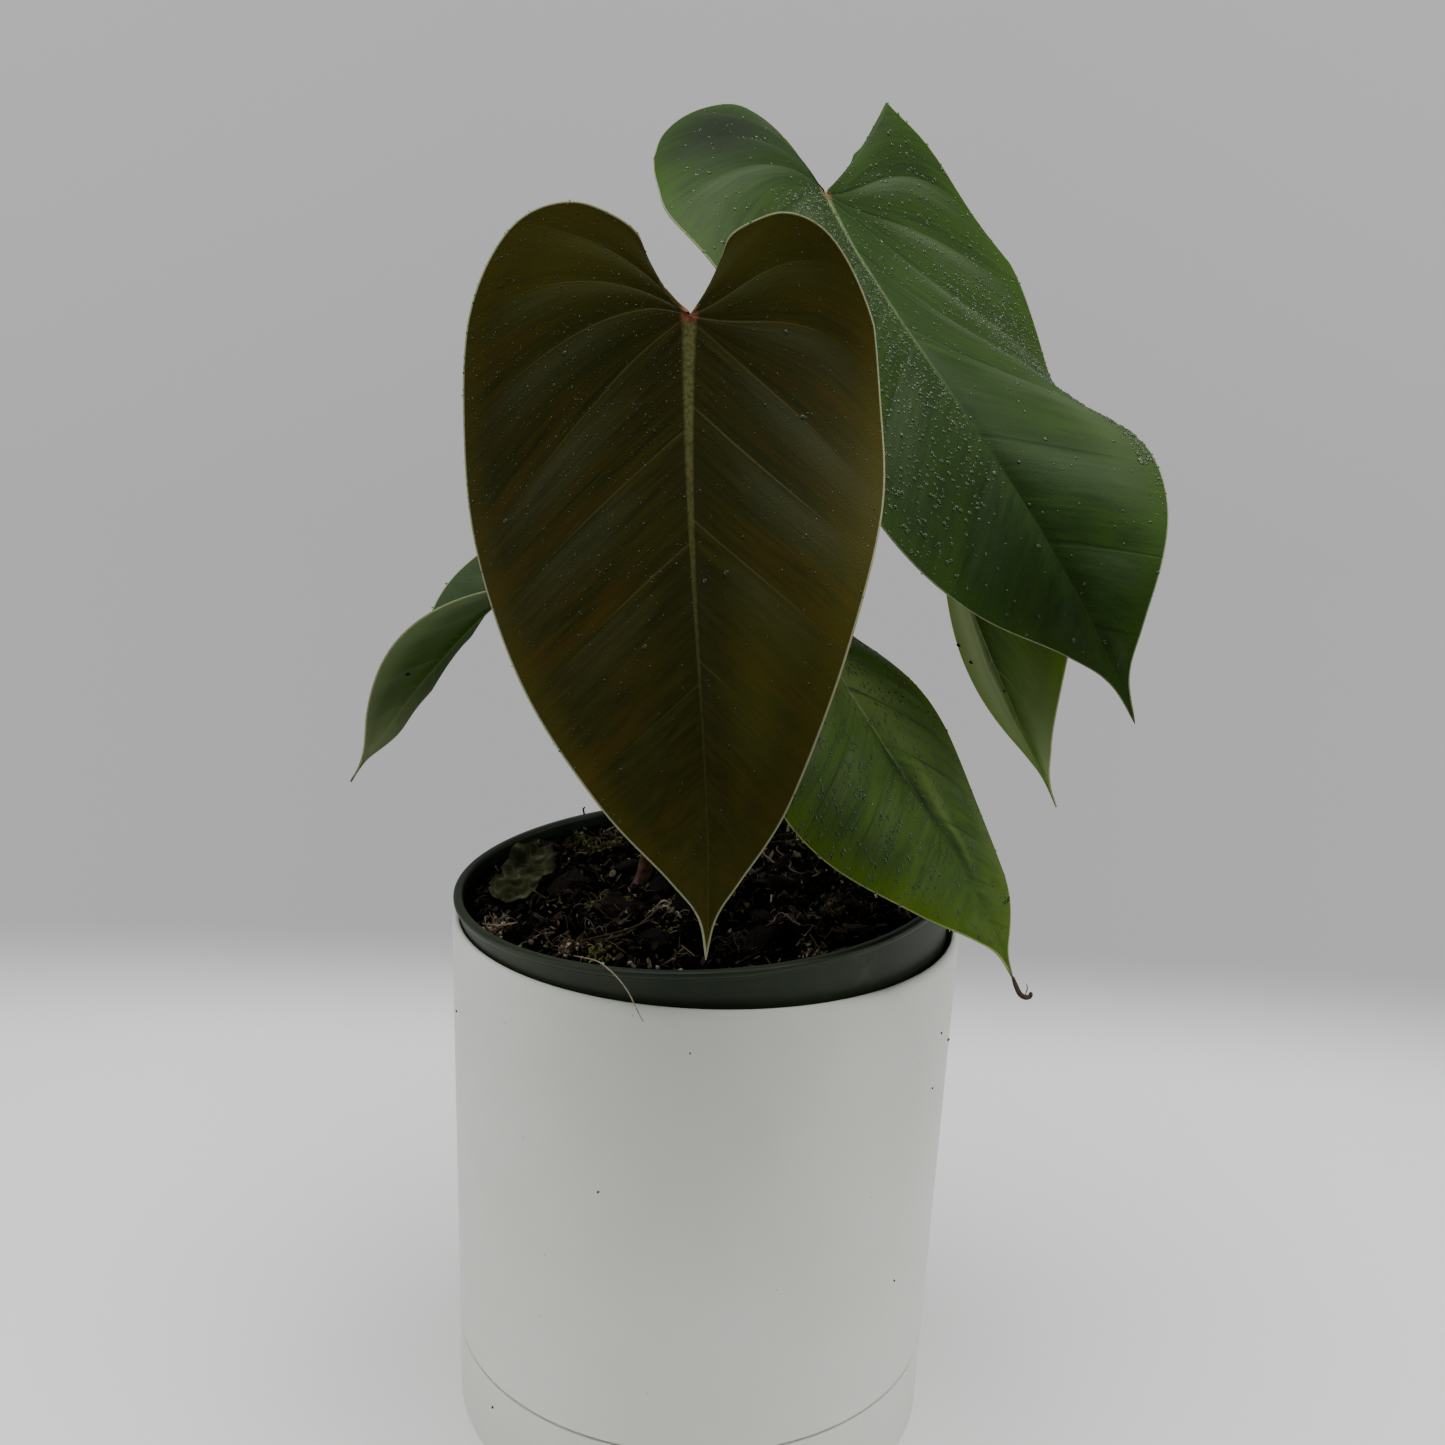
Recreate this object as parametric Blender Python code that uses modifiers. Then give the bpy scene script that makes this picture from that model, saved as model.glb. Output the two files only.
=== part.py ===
"""A potted philodendron lynamii: five heart-shaped leaves on long stalks, from a creeping stem.

The plant grows in a thin green grower's pot that stands a little askew inside a white ceramic
pot with a flush saucer. Metres, +Z up, +Y away from the viewer. The origin is the centre of
the saucer's underside. Sizes below are in millimetres and angles in degrees.
"""
import math

import bmesh
import bpy
import numpy as np
from mathutils import Vector

MM = 0.001
GAP = 0.3                       # clearance between two pieces that touch

# White ceramic pot and its saucer, which share one slightly flaring outside.
FOOT_RADIUS = 79.1
FLARE_PER_MM = 0.0201
POT_TOP = 171.0
SEAM_HEIGHT = 26.9
SAUCER_WALL = 5.0
SAUCER_FLOOR = 6.0
CERAMIC_FLOOR = 14.0
CERAMIC_WALL = 5.0
MOUTH_RADIUS = 80.1
MOUTH_DEPTH = 18.0
RIM_ROUND = 1.2
FOOT_ROUND = 1.5
SEAM_EDGE = 0.6                 # small bevel on both lips of the seam
CERAMIC_DRAIN = 9.0

# Green grower's pot, drawn in its own leaning frame: its rim's centre is the local origin.
GROWER_RIM_CENTRE = (-1.7, 0.0, 184.0)
GROWER_RISE_RIGHT = 0.0705      # the rim climbs this much per mm to the right
GROWER_RISE_BACK = 0.0281
LIP_RADIUS = 80.8
COLLAR_RADIUS = 79.0
COLLAR_HEIGHT = 20.0
NECK_RADIUS = 76.4
GROWER_FOOT_RADIUS = 56.0
GROWER_HEIGHT = 165.6
GROWER_WALL = 1.3
GROWER_FLOOR = 1.8
GROWER_DRAIN = 6.0

# Soil: a bark and peat mix that fills the grower's pot to just under the lip.
SOIL_TOP = -4.6
SOIL_MOUND = 3.0
SOIL_RINGS = 11
CHUNK_COUNT = 30
CHUNK_SEED = 11
CHUNK_REACH = 67.0              # lumps lie within this radius, clear of the wall
CHUNK_SMALLEST = (3.5, 2.5, 1.6)
CHUNK_LARGEST = (7.0, 4.5, 2.6)
CHUNK_TIP = 0.5                 # steepest slope of a lump
GOLDEN_TURN = 0.381966          # share of a turn between one lump and the next

TURN_STEPS = 40
BLADE_THICKNESS = 0.8
BLADE_ROWS = 30
BLADE_COLUMNS = 10
VEIN_PAIRS = 6
PETIOLE_FOOT_RADIUS = 2.6
PETIOLE_TOP_RADIUS = 1.6
PETIOLE_SHEATH = 0.9            # extra radius where the stalk leaves the stem
PETIOLE_POINTS = 16
PETIOLE_SEAT_AHEAD = 2.2        # the stalk meets the blade this far in front of the notch
PETIOLE_SEAT_DROP = 0.1         # room for the slope of the blade over the stalk's end
PETIOLE_NECK = 2.5              # straight last bit of the stalk, square to the blade
FOOT_POINTS = 5                 # points of a stalk that stand in the stem and the soil
STEM_RADIUS = 5.5
STEM_POINTS = 16
STEM_JOINTS = 5

# Half outline of a blade: along the midrib as a share of its length, then out from it as a
# share of the half's width. It runs from the notch round the lobe to the drip tip.
HALF_OUTLINE = (
    (0.0, 0.0), (-0.055, 0.12), (-0.125, 0.27), (-0.165, 0.50), (-0.135, 0.76), (-0.03, 0.94),
    (0.12, 1.0), (0.32, 0.97), (0.55, 0.76), (0.75, 0.44), (0.87, 0.165), (0.93, 0.045), (1.0, 0.0),
)
LOBE_BACK = 0.165
VEIN_RAKE = 0.3                 # how far a side vein runs forward on its way to the margin
SINUS_START = 0.155             # first line across, which is also the straight edge of the sinus
CORNER_PLACE = 0.2395           # where a left lobe can come to a corner, on a line across
CORNER_SPREAD = 0.028
MARGIN_WAVES = 3.4              # waves along one half's margin
GROOVE_DEPTH = 0.5              # the midrib lies in a shallow groove
GROOVE_WIDTH = 2.5
FOLD_STATIONS = (-0.2, 0.15, 0.55, 1.0)

# Posture of each blade. azimuth, pitch and roll of the midrib are given at the notch, the
# middle and the tip; fold and curl of each half (left, right) at lobe, shoulder, middle and
# tip. fold tilts a half about the midrib and curl bends it on towards its margin.
LEAVES = {
    "front": dict(
        notch=(-10.3, -72.4, 358.1), length=166.5, width=(50.5, 61.5), flare=(-0.10, -0.02),
        corner=(0.0, 0.0),
        lobe=(0.96, 1.01), azimuth=(-86, -72, -61), pitch=(-77, -71, -93), roll=(13, 23, 6),
        fold=((10, -1, 19, 2), (5, 4, 1, 2)), curl=((-10, -29, -11, 9), (-13, -14, -18, 0)),
        wave=0.5, quilt=0.35,
        petiole=((-26.0, -3.5, 173), (-20, -3, 189), (-15, -19, 250), (-12, -46, 328)),
        colour=(0.060, 0.062, 0.018)),
    "upper": dict(
        notch=(29.2, 47.0, 401.2), length=208.0, width=(82.0, 67.0), flare=(-0.15, -0.27), corner=(8.2, 1.0),
        lobe=(1.26, 1.43), azimuth=(-71, -43, -4), pitch=(-36, -46, -67), roll=(-8, 24, 105),
        fold=((30, -20, 8, 10), (20, 22, -4, -4)), curl=((-86, 18, -72, 35), (-75, -34, 36, -26)),
        wave=0.6, quilt=0.6, petiole=((1.0, 17.0, 177), (2, 18, 195), (8, 28, 280), (17, 41, 360)),
        colour=(0.055, 0.115, 0.045)),
    "left": dict(
        notch=(-48.0, 19.1, 290.7), length=109.0, width=(50.0, 58.5), flare=(0.0, 0.0), corner=(0.0, 0.0),
        lobe=(1.0, 1.0), azimuth=(187, 197, 183), pitch=(-38, -48, -61), roll=(-11, 8, -3),
        fold=((28, 6, 23, -10), (-11, -7, -36, -12)), curl=((0, 0, 0, 0), (65, 21, 117, 12)),
        wave=0.4, quilt=0.4, petiole=((-14.0, 2.0, 176), (-14, 5, 192), (-23, 11, 238), (-35, 17, 270)),
        colour=(0.070, 0.125, 0.045)),
    "lower": dict(
        notch=(30.7, -31.0, 266.7), length=111.5, width=(48.5, 49.5), flare=(0.0, 0.0), corner=(0.0, 0.0),
        lobe=(1.0, 1.0), azimuth=(-32, -36, -43), pitch=(-52, -48, -60), roll=(-15, 2, 13),
        fold=((-1, 11, -4, 4), (1, 1, -5, -3)), curl=((-32, -17, -23, -8), (-29, -26, -37, 2)),
        wave=0.8, quilt=0.8, petiole=((-4.0, 8.0, 177), (-2, 6, 192), (8, -5, 222), (18, -17, 247)),
        colour=(0.085, 0.155, 0.030)),
    "back": dict(
        notch=(66.4, 35.6, 318.8), length=155.0, width=(45.0, 49.0), flare=(0.0, 0.0), corner=(0.0, 0.0),
        lobe=(1.0, 1.0), azimuth=(45, 37, 28), pitch=(-63, -56, -61), roll=(2, 15, 10),
        fold=((5, 37, 4, 3), (8, 22, 4, -4)), curl=((0, 0, 0, 0), (0, 0, 0, 0)),
        wave=0.5, quilt=0.5, petiole=((7.0, 28.0, 175), (9, 28, 192), (23, 30, 245), (43, 33, 296)),
        colour=(0.110, 0.175, 0.045)),
}

# The creeping stem lies half sunk in the soil, from its older end to its tip.
STEM_ROUTE = ((-30, -5, 170.5), (-20, -1, 173.5), (-10, 4, 176), (-2, 11, 177), (3, 21, 177), (9, 32, 174))

COLOURS = {
    "white_ceramic": ((0.42, 0.43, 0.42), 0.55),
    "green_plastic": ((0.018, 0.034, 0.026), 0.45),
    "bark_mix": ((0.022, 0.016, 0.012), 0.95),
    "stem_green": ((0.105, 0.110, 0.040), 0.6),
    "petiole_red": ((0.120, 0.060, 0.035), 0.5),
}


def metres(*values):
    """Millimetres to metres, for one value or a point."""
    scaled = [value * MM for value in values]
    return scaled[0] if len(scaled) == 1 else Vector(scaled)


def clear_scene():
    for old in list(bpy.data.objects):
        bpy.data.objects.remove(old)


def new_collection(name):
    collection = bpy.data.collections.new(name)
    bpy.context.scene.collection.children.link(collection)
    return collection


def material(name, colour, roughness):
    """A plain principled material in the piece's own colour."""
    made = bpy.data.materials.new(name)
    made.use_nodes = True
    shader = made.node_tree.nodes["Principled BSDF"]
    shader.inputs["Base Color"].default_value = (*colour, 1.0)
    shader.inputs["Roughness"].default_value = roughness
    shader.inputs["Metallic"].default_value = 0.0
    return made


def add_object(name, mesh, collection, surface=None, smooth_angle=40):
    """Puts a mesh in the collection as one named object, smooth but for its sharp edges."""
    placed = bpy.data.objects.new(name, mesh)
    collection.objects.link(placed)
    if surface is not None:
        mesh.materials.append(surface)
    mesh.shade_smooth()
    mesh.set_sharp_from_angle(angle=math.radians(smooth_angle))
    return placed


def smooth_curve(points, count):
    """Catmull-Rom curve through the points, read at count even places."""
    given = np.asarray(points, float)
    ends = np.vstack([2 * given[0] - given[1], given, 2 * given[-1] - given[-2]])
    place = np.linspace(0, len(given) - 1, count)
    index = np.minimum(place.astype(int), len(given) - 2)
    t = (place - index)[:, None]
    a, b, c, d = ends[index], ends[index + 1], ends[index + 2], ends[index + 3]
    return 0.5 * (2 * b + (c - a) * t + (2 * a - 5 * b + 4 * c - d) * t**2 + (3 * b - a - 3 * c + d) * t**3)


def through_three(values, x):
    """Parabola through values at 0, one half and 1, held level beyond the lobes."""
    x = np.clip(x, -0.35, 1)
    return values[0] * (1 - x) * (1 - 2 * x) + values[1] * 4 * x * (1 - x) + values[2] * x * (2 * x - 1)


def through_stations(values, x):
    """Cubic through one value at each fold station."""
    x = np.clip(x, -0.25, 1)
    total = 0
    for here, value in zip(FOLD_STATIONS, values):
        weight = 1.0
        for other in FOLD_STATIONS:
            if other != here:
                weight = weight * (x - other) / (here - other)
        total = total + value * weight
    return total


def midrib(leaf, share):
    """Point, direction, left side and upper side of the midrib at a share of its length.

    The direction turns by azimuth and pitch, the sides by roll, and the points add up the
    direction along the way.
    """
    knots = np.linspace(-0.4, 1.0, 141)
    azimuth, pitch, roll = (
        np.radians(through_three(leaf[key], knots)) for key in ("azimuth", "pitch", "roll"))
    ahead = np.stack([np.cos(pitch) * np.cos(azimuth), np.cos(pitch) * np.sin(azimuth), np.sin(pitch)], 1)
    level = np.stack([-np.sin(azimuth), np.cos(azimuth), 0 * azimuth], 1)
    upright = np.cross(ahead, level)
    left = np.cos(roll)[:, None] * level + np.sin(roll)[:, None] * upright
    upper = -np.sin(roll)[:, None] * level + np.cos(roll)[:, None] * upright
    step = (knots[1] - knots[0]) * leaf["length"]
    line = np.vstack([np.zeros(3), np.cumsum((ahead[1:] + ahead[:-1]) / 2 * step, 0)])

    def read(rows):
        return np.stack([np.interp(share, knots, rows[:, axis]) for axis in range(3)], -1)

    start = np.array([np.interp(0, knots, line[:, axis]) for axis in range(3)])
    return read(line - start + np.array(leaf["notch"])), read(ahead), read(left), read(upper)


def blade_point(leaf, v, w):
    """Places of the blade at v, from notch to tip along the outline, and w, from -1 to 1 across.

    A line across runs from a foot on the midrib to the outline. Each half leaves the midrib
    at its fold angle and bends by its curl, so it follows an arc. A left lobe's corner is
    pushed back and out, in mm, and the push dies away as exp(-distance / spread). The margin
    waves, and the blade swells between the side veins.
    """
    outline = smooth_curve(HALF_OUTLINE, 241)
    fine = np.linspace(0, 1, len(outline))
    along = np.interp(v, fine, outline[:, 0])
    out = np.maximum(np.interp(v, fine, outline[:, 1]), 0)
    side = np.where(w >= 0, 0, 1)
    sign = np.where(w >= 0, 1.0, -1.0)
    lobe = np.array(leaf["lobe"])[side]
    width = np.array(leaf["width"])[side]
    flare = np.array(leaf["flare"])[side]
    margin_along = np.where(along < 0, along * lobe, along)
    margin_out = out * width * (1 + flare * np.clip(-along / LOBE_BACK, 0, 1))
    back, wide = leaf["corner"]
    crest = np.exp(-np.abs(v - CORNER_PLACE) / CORNER_SPREAD) * (side == 0)
    margin_along = margin_along - back / leaf["length"] * crest
    margin_out = margin_out + wide * crest
    foot = np.maximum(0, margin_along - VEIN_RAKE * out)
    reach = np.abs(w)
    share = foot * (1 - reach) + margin_along * reach
    distance = margin_out * reach
    point, ahead, left, upper = midrib(leaf, share)
    fold = np.where(side == 0, *(through_stations(leaf["fold"][k], share) for k in (0, 1)))
    curl = np.where(side == 0, *(through_stations(leaf["curl"][k], share) for k in (0, 1)))
    fold = np.radians(fold)
    bend = np.radians(curl) / width
    bend = np.where(np.abs(bend) < 1e-6, 1e-6, bend)
    turned = fold + bend * distance
    outward = (np.sin(turned) - np.sin(fold)) / bend
    upward = (np.cos(fold) - np.cos(turned)) / bend
    middle = np.clip(4 * reach * (1 - reach), 0, 1)
    puffs = 0.5 - 0.5 * np.cos(2 * math.pi * VEIN_PAIRS * v)
    quilt = leaf["quilt"] * middle * puffs * np.clip(out * 3, 0, 1)
    ripples = np.sin(2 * math.pi * (MARGIN_WAVES * v + 0.25 * sign))
    wave = leaf["wave"] * reach**2 * ripples * np.clip(out * 2, 0, 1)
    groove = -GROOVE_DEPTH * np.exp(-((distance / GROOVE_WIDTH) ** 2)) * np.clip(share * 8, 0, 1)
    lift = upward + quilt + wave + groove
    return point + (sign * outward)[..., None] * left + lift[..., None] * upper


def make_blade(name, leaf, collection, surface):
    """A grid bent to the blade's form, welded at the notch, cut in triangles and thickened."""
    sheet = bmesh.new()
    bmesh.ops.create_grid(sheet, x_segments=BLADE_COLUMNS, y_segments=BLADE_ROWS, size=1.0)
    sheet.verts.ensure_lookup_table()
    grid = np.array([vertex.co[:2] for vertex in sheet.verts])
    rows = SINUS_START + (1 - SINUS_START) * (grid[:, 1] + 1) / 2
    places = blade_point(leaf, rows, -grid[:, 0]) * MM
    for vertex, place in zip(sheet.verts, places):
        vertex.co = place
    bmesh.ops.remove_doubles(sheet, verts=sheet.verts, dist=0.00002)
    bmesh.ops.triangulate(sheet, faces=sheet.faces)
    mesh = bpy.data.meshes.new(name)
    sheet.to_mesh(mesh)
    sheet.free()
    blade = add_object(name, mesh, collection, surface, smooth_angle=50)
    wall = blade.modifiers.new("thickness", "SOLIDIFY")
    wall.thickness = BLADE_THICKNESS * MM
    wall.offset = 0.0
    return blade


def tube(name, route, radii, collection, surface=None, sides=4, extra=0.0):
    """A capped round tube along a route, its radius eased from one end to the other, as a mesh."""
    curve = bpy.data.curves.new(name, "CURVE")
    curve.dimensions = "3D"
    curve.bevel_depth = MM
    curve.bevel_resolution = sides // 2
    curve.use_fill_caps = True
    spline = curve.splines.new("POLY")
    spline.points.add(len(route) - 1)
    for point, place, radius in zip(spline.points, route, radii):
        point.co = (*(np.asarray(place) * MM), 1.0)
        point.radius = radius + extra
    guide = bpy.data.objects.new(name + "_path", curve)
    collection.objects.link(guide)
    graph = bpy.context.evaluated_depsgraph_get()
    mesh = bpy.data.meshes.new_from_object(guide.evaluated_get(graph))
    bpy.data.objects.remove(guide)
    mesh.name = name
    shell = bmesh.new()
    shell.from_mesh(mesh)
    bmesh.ops.remove_doubles(shell, verts=shell.verts, dist=0.00001)
    bmesh.ops.recalc_face_normals(shell, faces=shell.faces)
    shell.to_mesh(mesh)
    shell.free()
    return add_object(name, mesh, collection, surface)


def petiole_route(leaf):
    """Points of a leaf's stalk: from the stem up behind the blade, then square onto its underside.

    The stalk's end is a flat disc that lies under the midrib, just in front of the notch.
    """
    share = np.array([PETIOLE_SEAT_AHEAD / leaf["length"]])
    seat, ahead, left, upper = (row[0] for row in midrib(leaf, share))
    end = seat - upper * (BLADE_THICKNESS / 2 + GAP + PETIOLE_SEAT_DROP)
    neck = end - upper * PETIOLE_NECK
    bend = neck - upper * 2 * PETIOLE_NECK - ahead * 0.5
    return np.vstack([smooth_curve([*leaf["petiole"], bend, neck], PETIOLE_POINTS - 1), end])


def petiole_radii(count):
    """Swollen at the sheath round the stem, then easing thinner to the blade."""
    share = np.linspace(0, 1, count)
    slim = PETIOLE_FOOT_RADIUS + (PETIOLE_TOP_RADIUS - PETIOLE_FOOT_RADIUS) * share**0.7
    return slim + PETIOLE_SHEATH * np.exp(-((share / 0.09) ** 2))


def stem_radii(count):
    """Nearly even, with a swelling at each joint and blunt ends."""
    share = np.linspace(0, 1, count)
    joints = 0.6 * np.cos(2 * math.pi * STEM_JOINTS * share) ** 2
    blunt = np.clip(np.sqrt(1 - np.clip(np.abs(2 * share - 1), 0, 0.995) ** 6), 0.35, 1)
    return (STEM_RADIUS - 0.5 + joints) * blunt


def turned(name, profile, collection, surface=None, closed=True):
    """A profile of radius and height, in mm, turned once round Z."""
    outline = bmesh.new()
    corners = [outline.verts.new((radius * MM, 0.0, height * MM)) for radius, height in profile]
    for first, second in zip(corners, corners[1:]):
        outline.edges.new((first, second))
    if closed:
        outline.edges.new((corners[-1], corners[0]))
    mesh = bpy.data.meshes.new(name)
    outline.to_mesh(mesh)
    outline.free()
    made = add_object(name, mesh, collection, surface)
    screw = made.modifiers.new("turn", "SCREW")
    screw.steps = TURN_STEPS
    screw.render_steps = TURN_STEPS
    screw.use_merge_vertices = True
    screw.merge_threshold = 0.00002
    screw.use_normal_calculate = True
    return made


def as_mesh(made):
    """Applies an object's modifiers, so that its points can be moved."""
    graph = bpy.context.evaluated_depsgraph_get()
    mesh = bpy.data.meshes.new_from_object(made.evaluated_get(graph))
    made.modifiers.clear()
    made.data = mesh
    return made


def arc(centre_radius, centre_height, radius, first, last, count):
    """Points of an arc in the profile's plane, from the first angle to the last."""
    angles = np.radians(np.linspace(first, last, count))
    return [(centre_radius + radius * math.cos(a), centre_height + radius * math.sin(a)) for a in angles]


def outer_radius(height):
    """The shared outside of the ceramic pot and saucer, which flares a little upwards."""
    return FOOT_RADIUS + FLARE_PER_MM * height


def make_saucer(collection, surface):
    """A flush saucer: a flat underside with a rounded edge, and a wall up to the pot's seam."""
    top = SEAM_HEIGHT - GAP / 2
    inner = outer_radius(top) - SAUCER_WALL
    rim = outer_radius(top)
    profile = [(0.0, SAUCER_FLOOR), (inner - 2.0, SAUCER_FLOOR), (inner, SAUCER_FLOOR + 2.0),
               (inner, top - SEAM_EDGE), (inner + SEAM_EDGE, top),
               (rim - SEAM_EDGE, top), (rim, top - SEAM_EDGE),
               *arc(FOOT_RADIUS - FOOT_ROUND, FOOT_ROUND, FOOT_ROUND, 0, -90, 4), (0.0, 0.0)]
    return turned("saucer", profile, collection, surface, closed=False)


def make_ceramic_pot(collection, surface):
    """A straight pot with a slim rounded rim and a stepped foot that stands inside the saucer."""
    bottom = SAUCER_FLOOR + GAP
    shoulder = SEAM_HEIGHT + GAP / 2
    foot = outer_radius(SEAM_HEIGHT) - SAUCER_WALL - 1.2
    crest = POT_TOP - RIM_ROUND
    inside = foot - CERAMIC_WALL
    profile = [*arc(MOUTH_RADIUS + RIM_ROUND, crest, RIM_ROUND, 180, 0, 7),
               (outer_radius(shoulder), shoulder + SEAM_EDGE), (outer_radius(shoulder) - SEAM_EDGE, shoulder),
               (foot, shoulder), (foot, bottom + 1.0), (foot - 1.0, bottom),
               (CERAMIC_DRAIN, bottom), (CERAMIC_DRAIN, CERAMIC_FLOOR),
               (inside - 3.0, CERAMIC_FLOOR), (inside, CERAMIC_FLOOR + 3.0),
               (MOUTH_RADIUS - 3.0, POT_TOP - MOUTH_DEPTH - 14.0), (MOUTH_RADIUS, POT_TOP - MOUTH_DEPTH)]
    return turned("ceramic_pot", profile, collection, surface)


def grower_inside(height):
    """Inner radius of the grower's pot at a height below its rim."""
    if height > -COLLAR_HEIGHT + 2:
        return COLLAR_RADIUS - GROWER_WALL
    share = (-COLLAR_HEIGHT - height) / (GROWER_HEIGHT - COLLAR_HEIGHT)
    return NECK_RADIUS - GROWER_WALL + (GROWER_FOOT_RADIUS - NECK_RADIUS) * min(max(share, 0), 1)


def lean(made):
    """Stands a piece of the grower's pot on its leaning rim plane."""
    made.location = metres(*GROWER_RIM_CENTRE)
    made.rotation_euler = (math.atan(GROWER_RISE_BACK), -math.atan(GROWER_RISE_RIGHT), 0.0)
    return made


def make_grower_pot(collection, surface):
    """Thin moulded pot: a small rolled lip, a deep collar, a step in, and a tapering wall."""
    low = -COLLAR_HEIGHT
    bottom = -GROWER_HEIGHT
    floor = bottom + GROWER_FLOOR
    profile = [(LIP_RADIUS - 0.7, 0.0), (LIP_RADIUS, -0.6), (LIP_RADIUS, -1.8), (COLLAR_RADIUS + 0.2, -2.8),
               (COLLAR_RADIUS, low), (NECK_RADIUS + 1.2, low), (NECK_RADIUS, low - 1.0),
               (GROWER_FOOT_RADIUS, bottom + 1.5), (GROWER_FOOT_RADIUS - 1.5, bottom),
               (GROWER_DRAIN, bottom), (GROWER_DRAIN, floor), (GROWER_FOOT_RADIUS - 4.0, floor),
               (grower_inside(floor + 3.0), floor + 3.0), (NECK_RADIUS - GROWER_WALL, low + 0.3),
               (COLLAR_RADIUS - GROWER_WALL, low + 2.0), (COLLAR_RADIUS - GROWER_WALL, -1.2),
               (LIP_RADIUS - 2.6, 0.0)]
    return lean(turned("grower_pot", profile, collection, surface))


def soil_height(x, y):
    """Relief of the bark mix: a low mound, with lumps from crossed waves of unlike lengths."""
    radius = np.hypot(x, y)
    mound = SOIL_MOUND * np.cos(math.pi / 2 * np.clip(radius / COLLAR_RADIUS, 0, 1))
    lumps = 0.9 * np.sin(x / 6.1 + 0.7 * np.sin(y / 7.3)) * np.sin(y / 5.3 + 1.1 * np.sin(x / 9.1))
    crumbs = 0.6 * np.sin(x / 2.9 + y / 4.1) * np.sin(y / 2.6 - x / 5.7)
    fade = np.clip((COLLAR_RADIUS - GROWER_WALL - radius) / 8, 0, 1)
    return mound + (lumps + crumbs) * fade


def make_chunks(placement):
    """Flattened, tipped lumps of bark, bedded in the top of the soil, which has this placement."""
    rng = np.random.default_rng(CHUNK_SEED)
    lumps = bpy.data.collections.new("bark_chunks")
    bpy.context.scene.collection.children.link(lumps)
    for index in range(CHUNK_COUNT):
        radius = CHUNK_REACH * math.sqrt(rng.uniform(0.02, 1))
        turn = 2 * math.pi * (index * GOLDEN_TURN + rng.uniform(0, 0.1))
        x, y = radius * math.cos(turn), radius * math.sin(turn)
        size = rng.uniform(CHUNK_SMALLEST, CHUNK_LARGEST)
        lump = bmesh.new()
        bmesh.ops.create_icosphere(lump, subdivisions=1, radius=1.0)
        tip = rng.uniform(-CHUNK_TIP, CHUNK_TIP, 2)
        spin = rng.uniform(0, 2 * math.pi)
        for vertex in lump.verts:
            place = np.array(vertex.co) * size * rng.uniform(0.8, 1.15)
            place[2] += tip[0] * place[0] + tip[1] * place[1]
            turned_x = place[0] * math.cos(spin) - place[1] * math.sin(spin)
            turned_y = place[0] * math.sin(spin) + place[1] * math.cos(spin)
            height = SOIL_TOP + float(soil_height(x, y)) + 0.4
            vertex.co = metres(x + turned_x, y + turned_y, height + place[2])
        mesh = bpy.data.meshes.new("chunk")
        lump.to_mesh(mesh)
        lump.free()
        chunk = bpy.data.objects.new("chunk", mesh)
        lumps.objects.link(chunk)
        chunk.matrix_world = placement
    return lumps


def make_soil(collection, surface, holes):
    """The filling of the grower's pot, with lumps of bark fused on, and holes for the plant."""
    floor = -GROWER_HEIGHT + GROWER_FLOOR + GAP
    wall = COLLAR_RADIUS - GROWER_WALL - GAP
    neck = -COLLAR_HEIGHT + 2.0
    top = [(wall * index / SOIL_RINGS, SOIL_TOP) for index in range(SOIL_RINGS)]
    profile = [*top, (wall, SOIL_TOP), (wall, neck), (NECK_RADIUS - GROWER_WALL - GAP, neck - 1.3),
               (grower_inside(floor + 3.0) - GAP, floor + 3.0), (GROWER_FOOT_RADIUS - 4.5, floor),
               (0.0, floor)]
    soil = as_mesh(turned("soil", profile, collection, surface, closed=False))
    shape = bmesh.new()
    shape.from_mesh(soil.data)
    bmesh.ops.remove_doubles(shape, verts=shape.verts, dist=0.00002)
    for vertex in shape.verts:
        if vertex.co.z > (SOIL_TOP - 0.1) * MM:
            vertex.co.z += float(soil_height(vertex.co.x / MM, vertex.co.y / MM)) * MM
    bmesh.ops.recalc_face_normals(shape, faces=shape.faces)
    bmesh.ops.triangulate(shape, faces=shape.faces)
    shape.to_mesh(soil.data)
    shape.free()
    lean(soil)
    bpy.context.view_layer.update()
    chunks = make_chunks(soil.matrix_world.copy())
    apply_boolean(soil, "UNION", chunks)
    apply_boolean(soil, "DIFFERENCE", holes)
    for chunk in list(chunks.objects):
        bpy.data.objects.remove(chunk)
    bpy.data.collections.remove(chunks)
    return soil


def apply_boolean(made, operation, operands):
    """Joins or cuts with every object of a collection at once, and keeps the result as a mesh."""
    cut = made.modifiers.new(operation.lower(), "BOOLEAN")
    cut.operation = operation
    cut.operand_type = "COLLECTION"
    cut.collection = operands
    cut.solver = "EXACT"
    bpy.context.view_layer.update()
    as_mesh(made)


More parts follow.
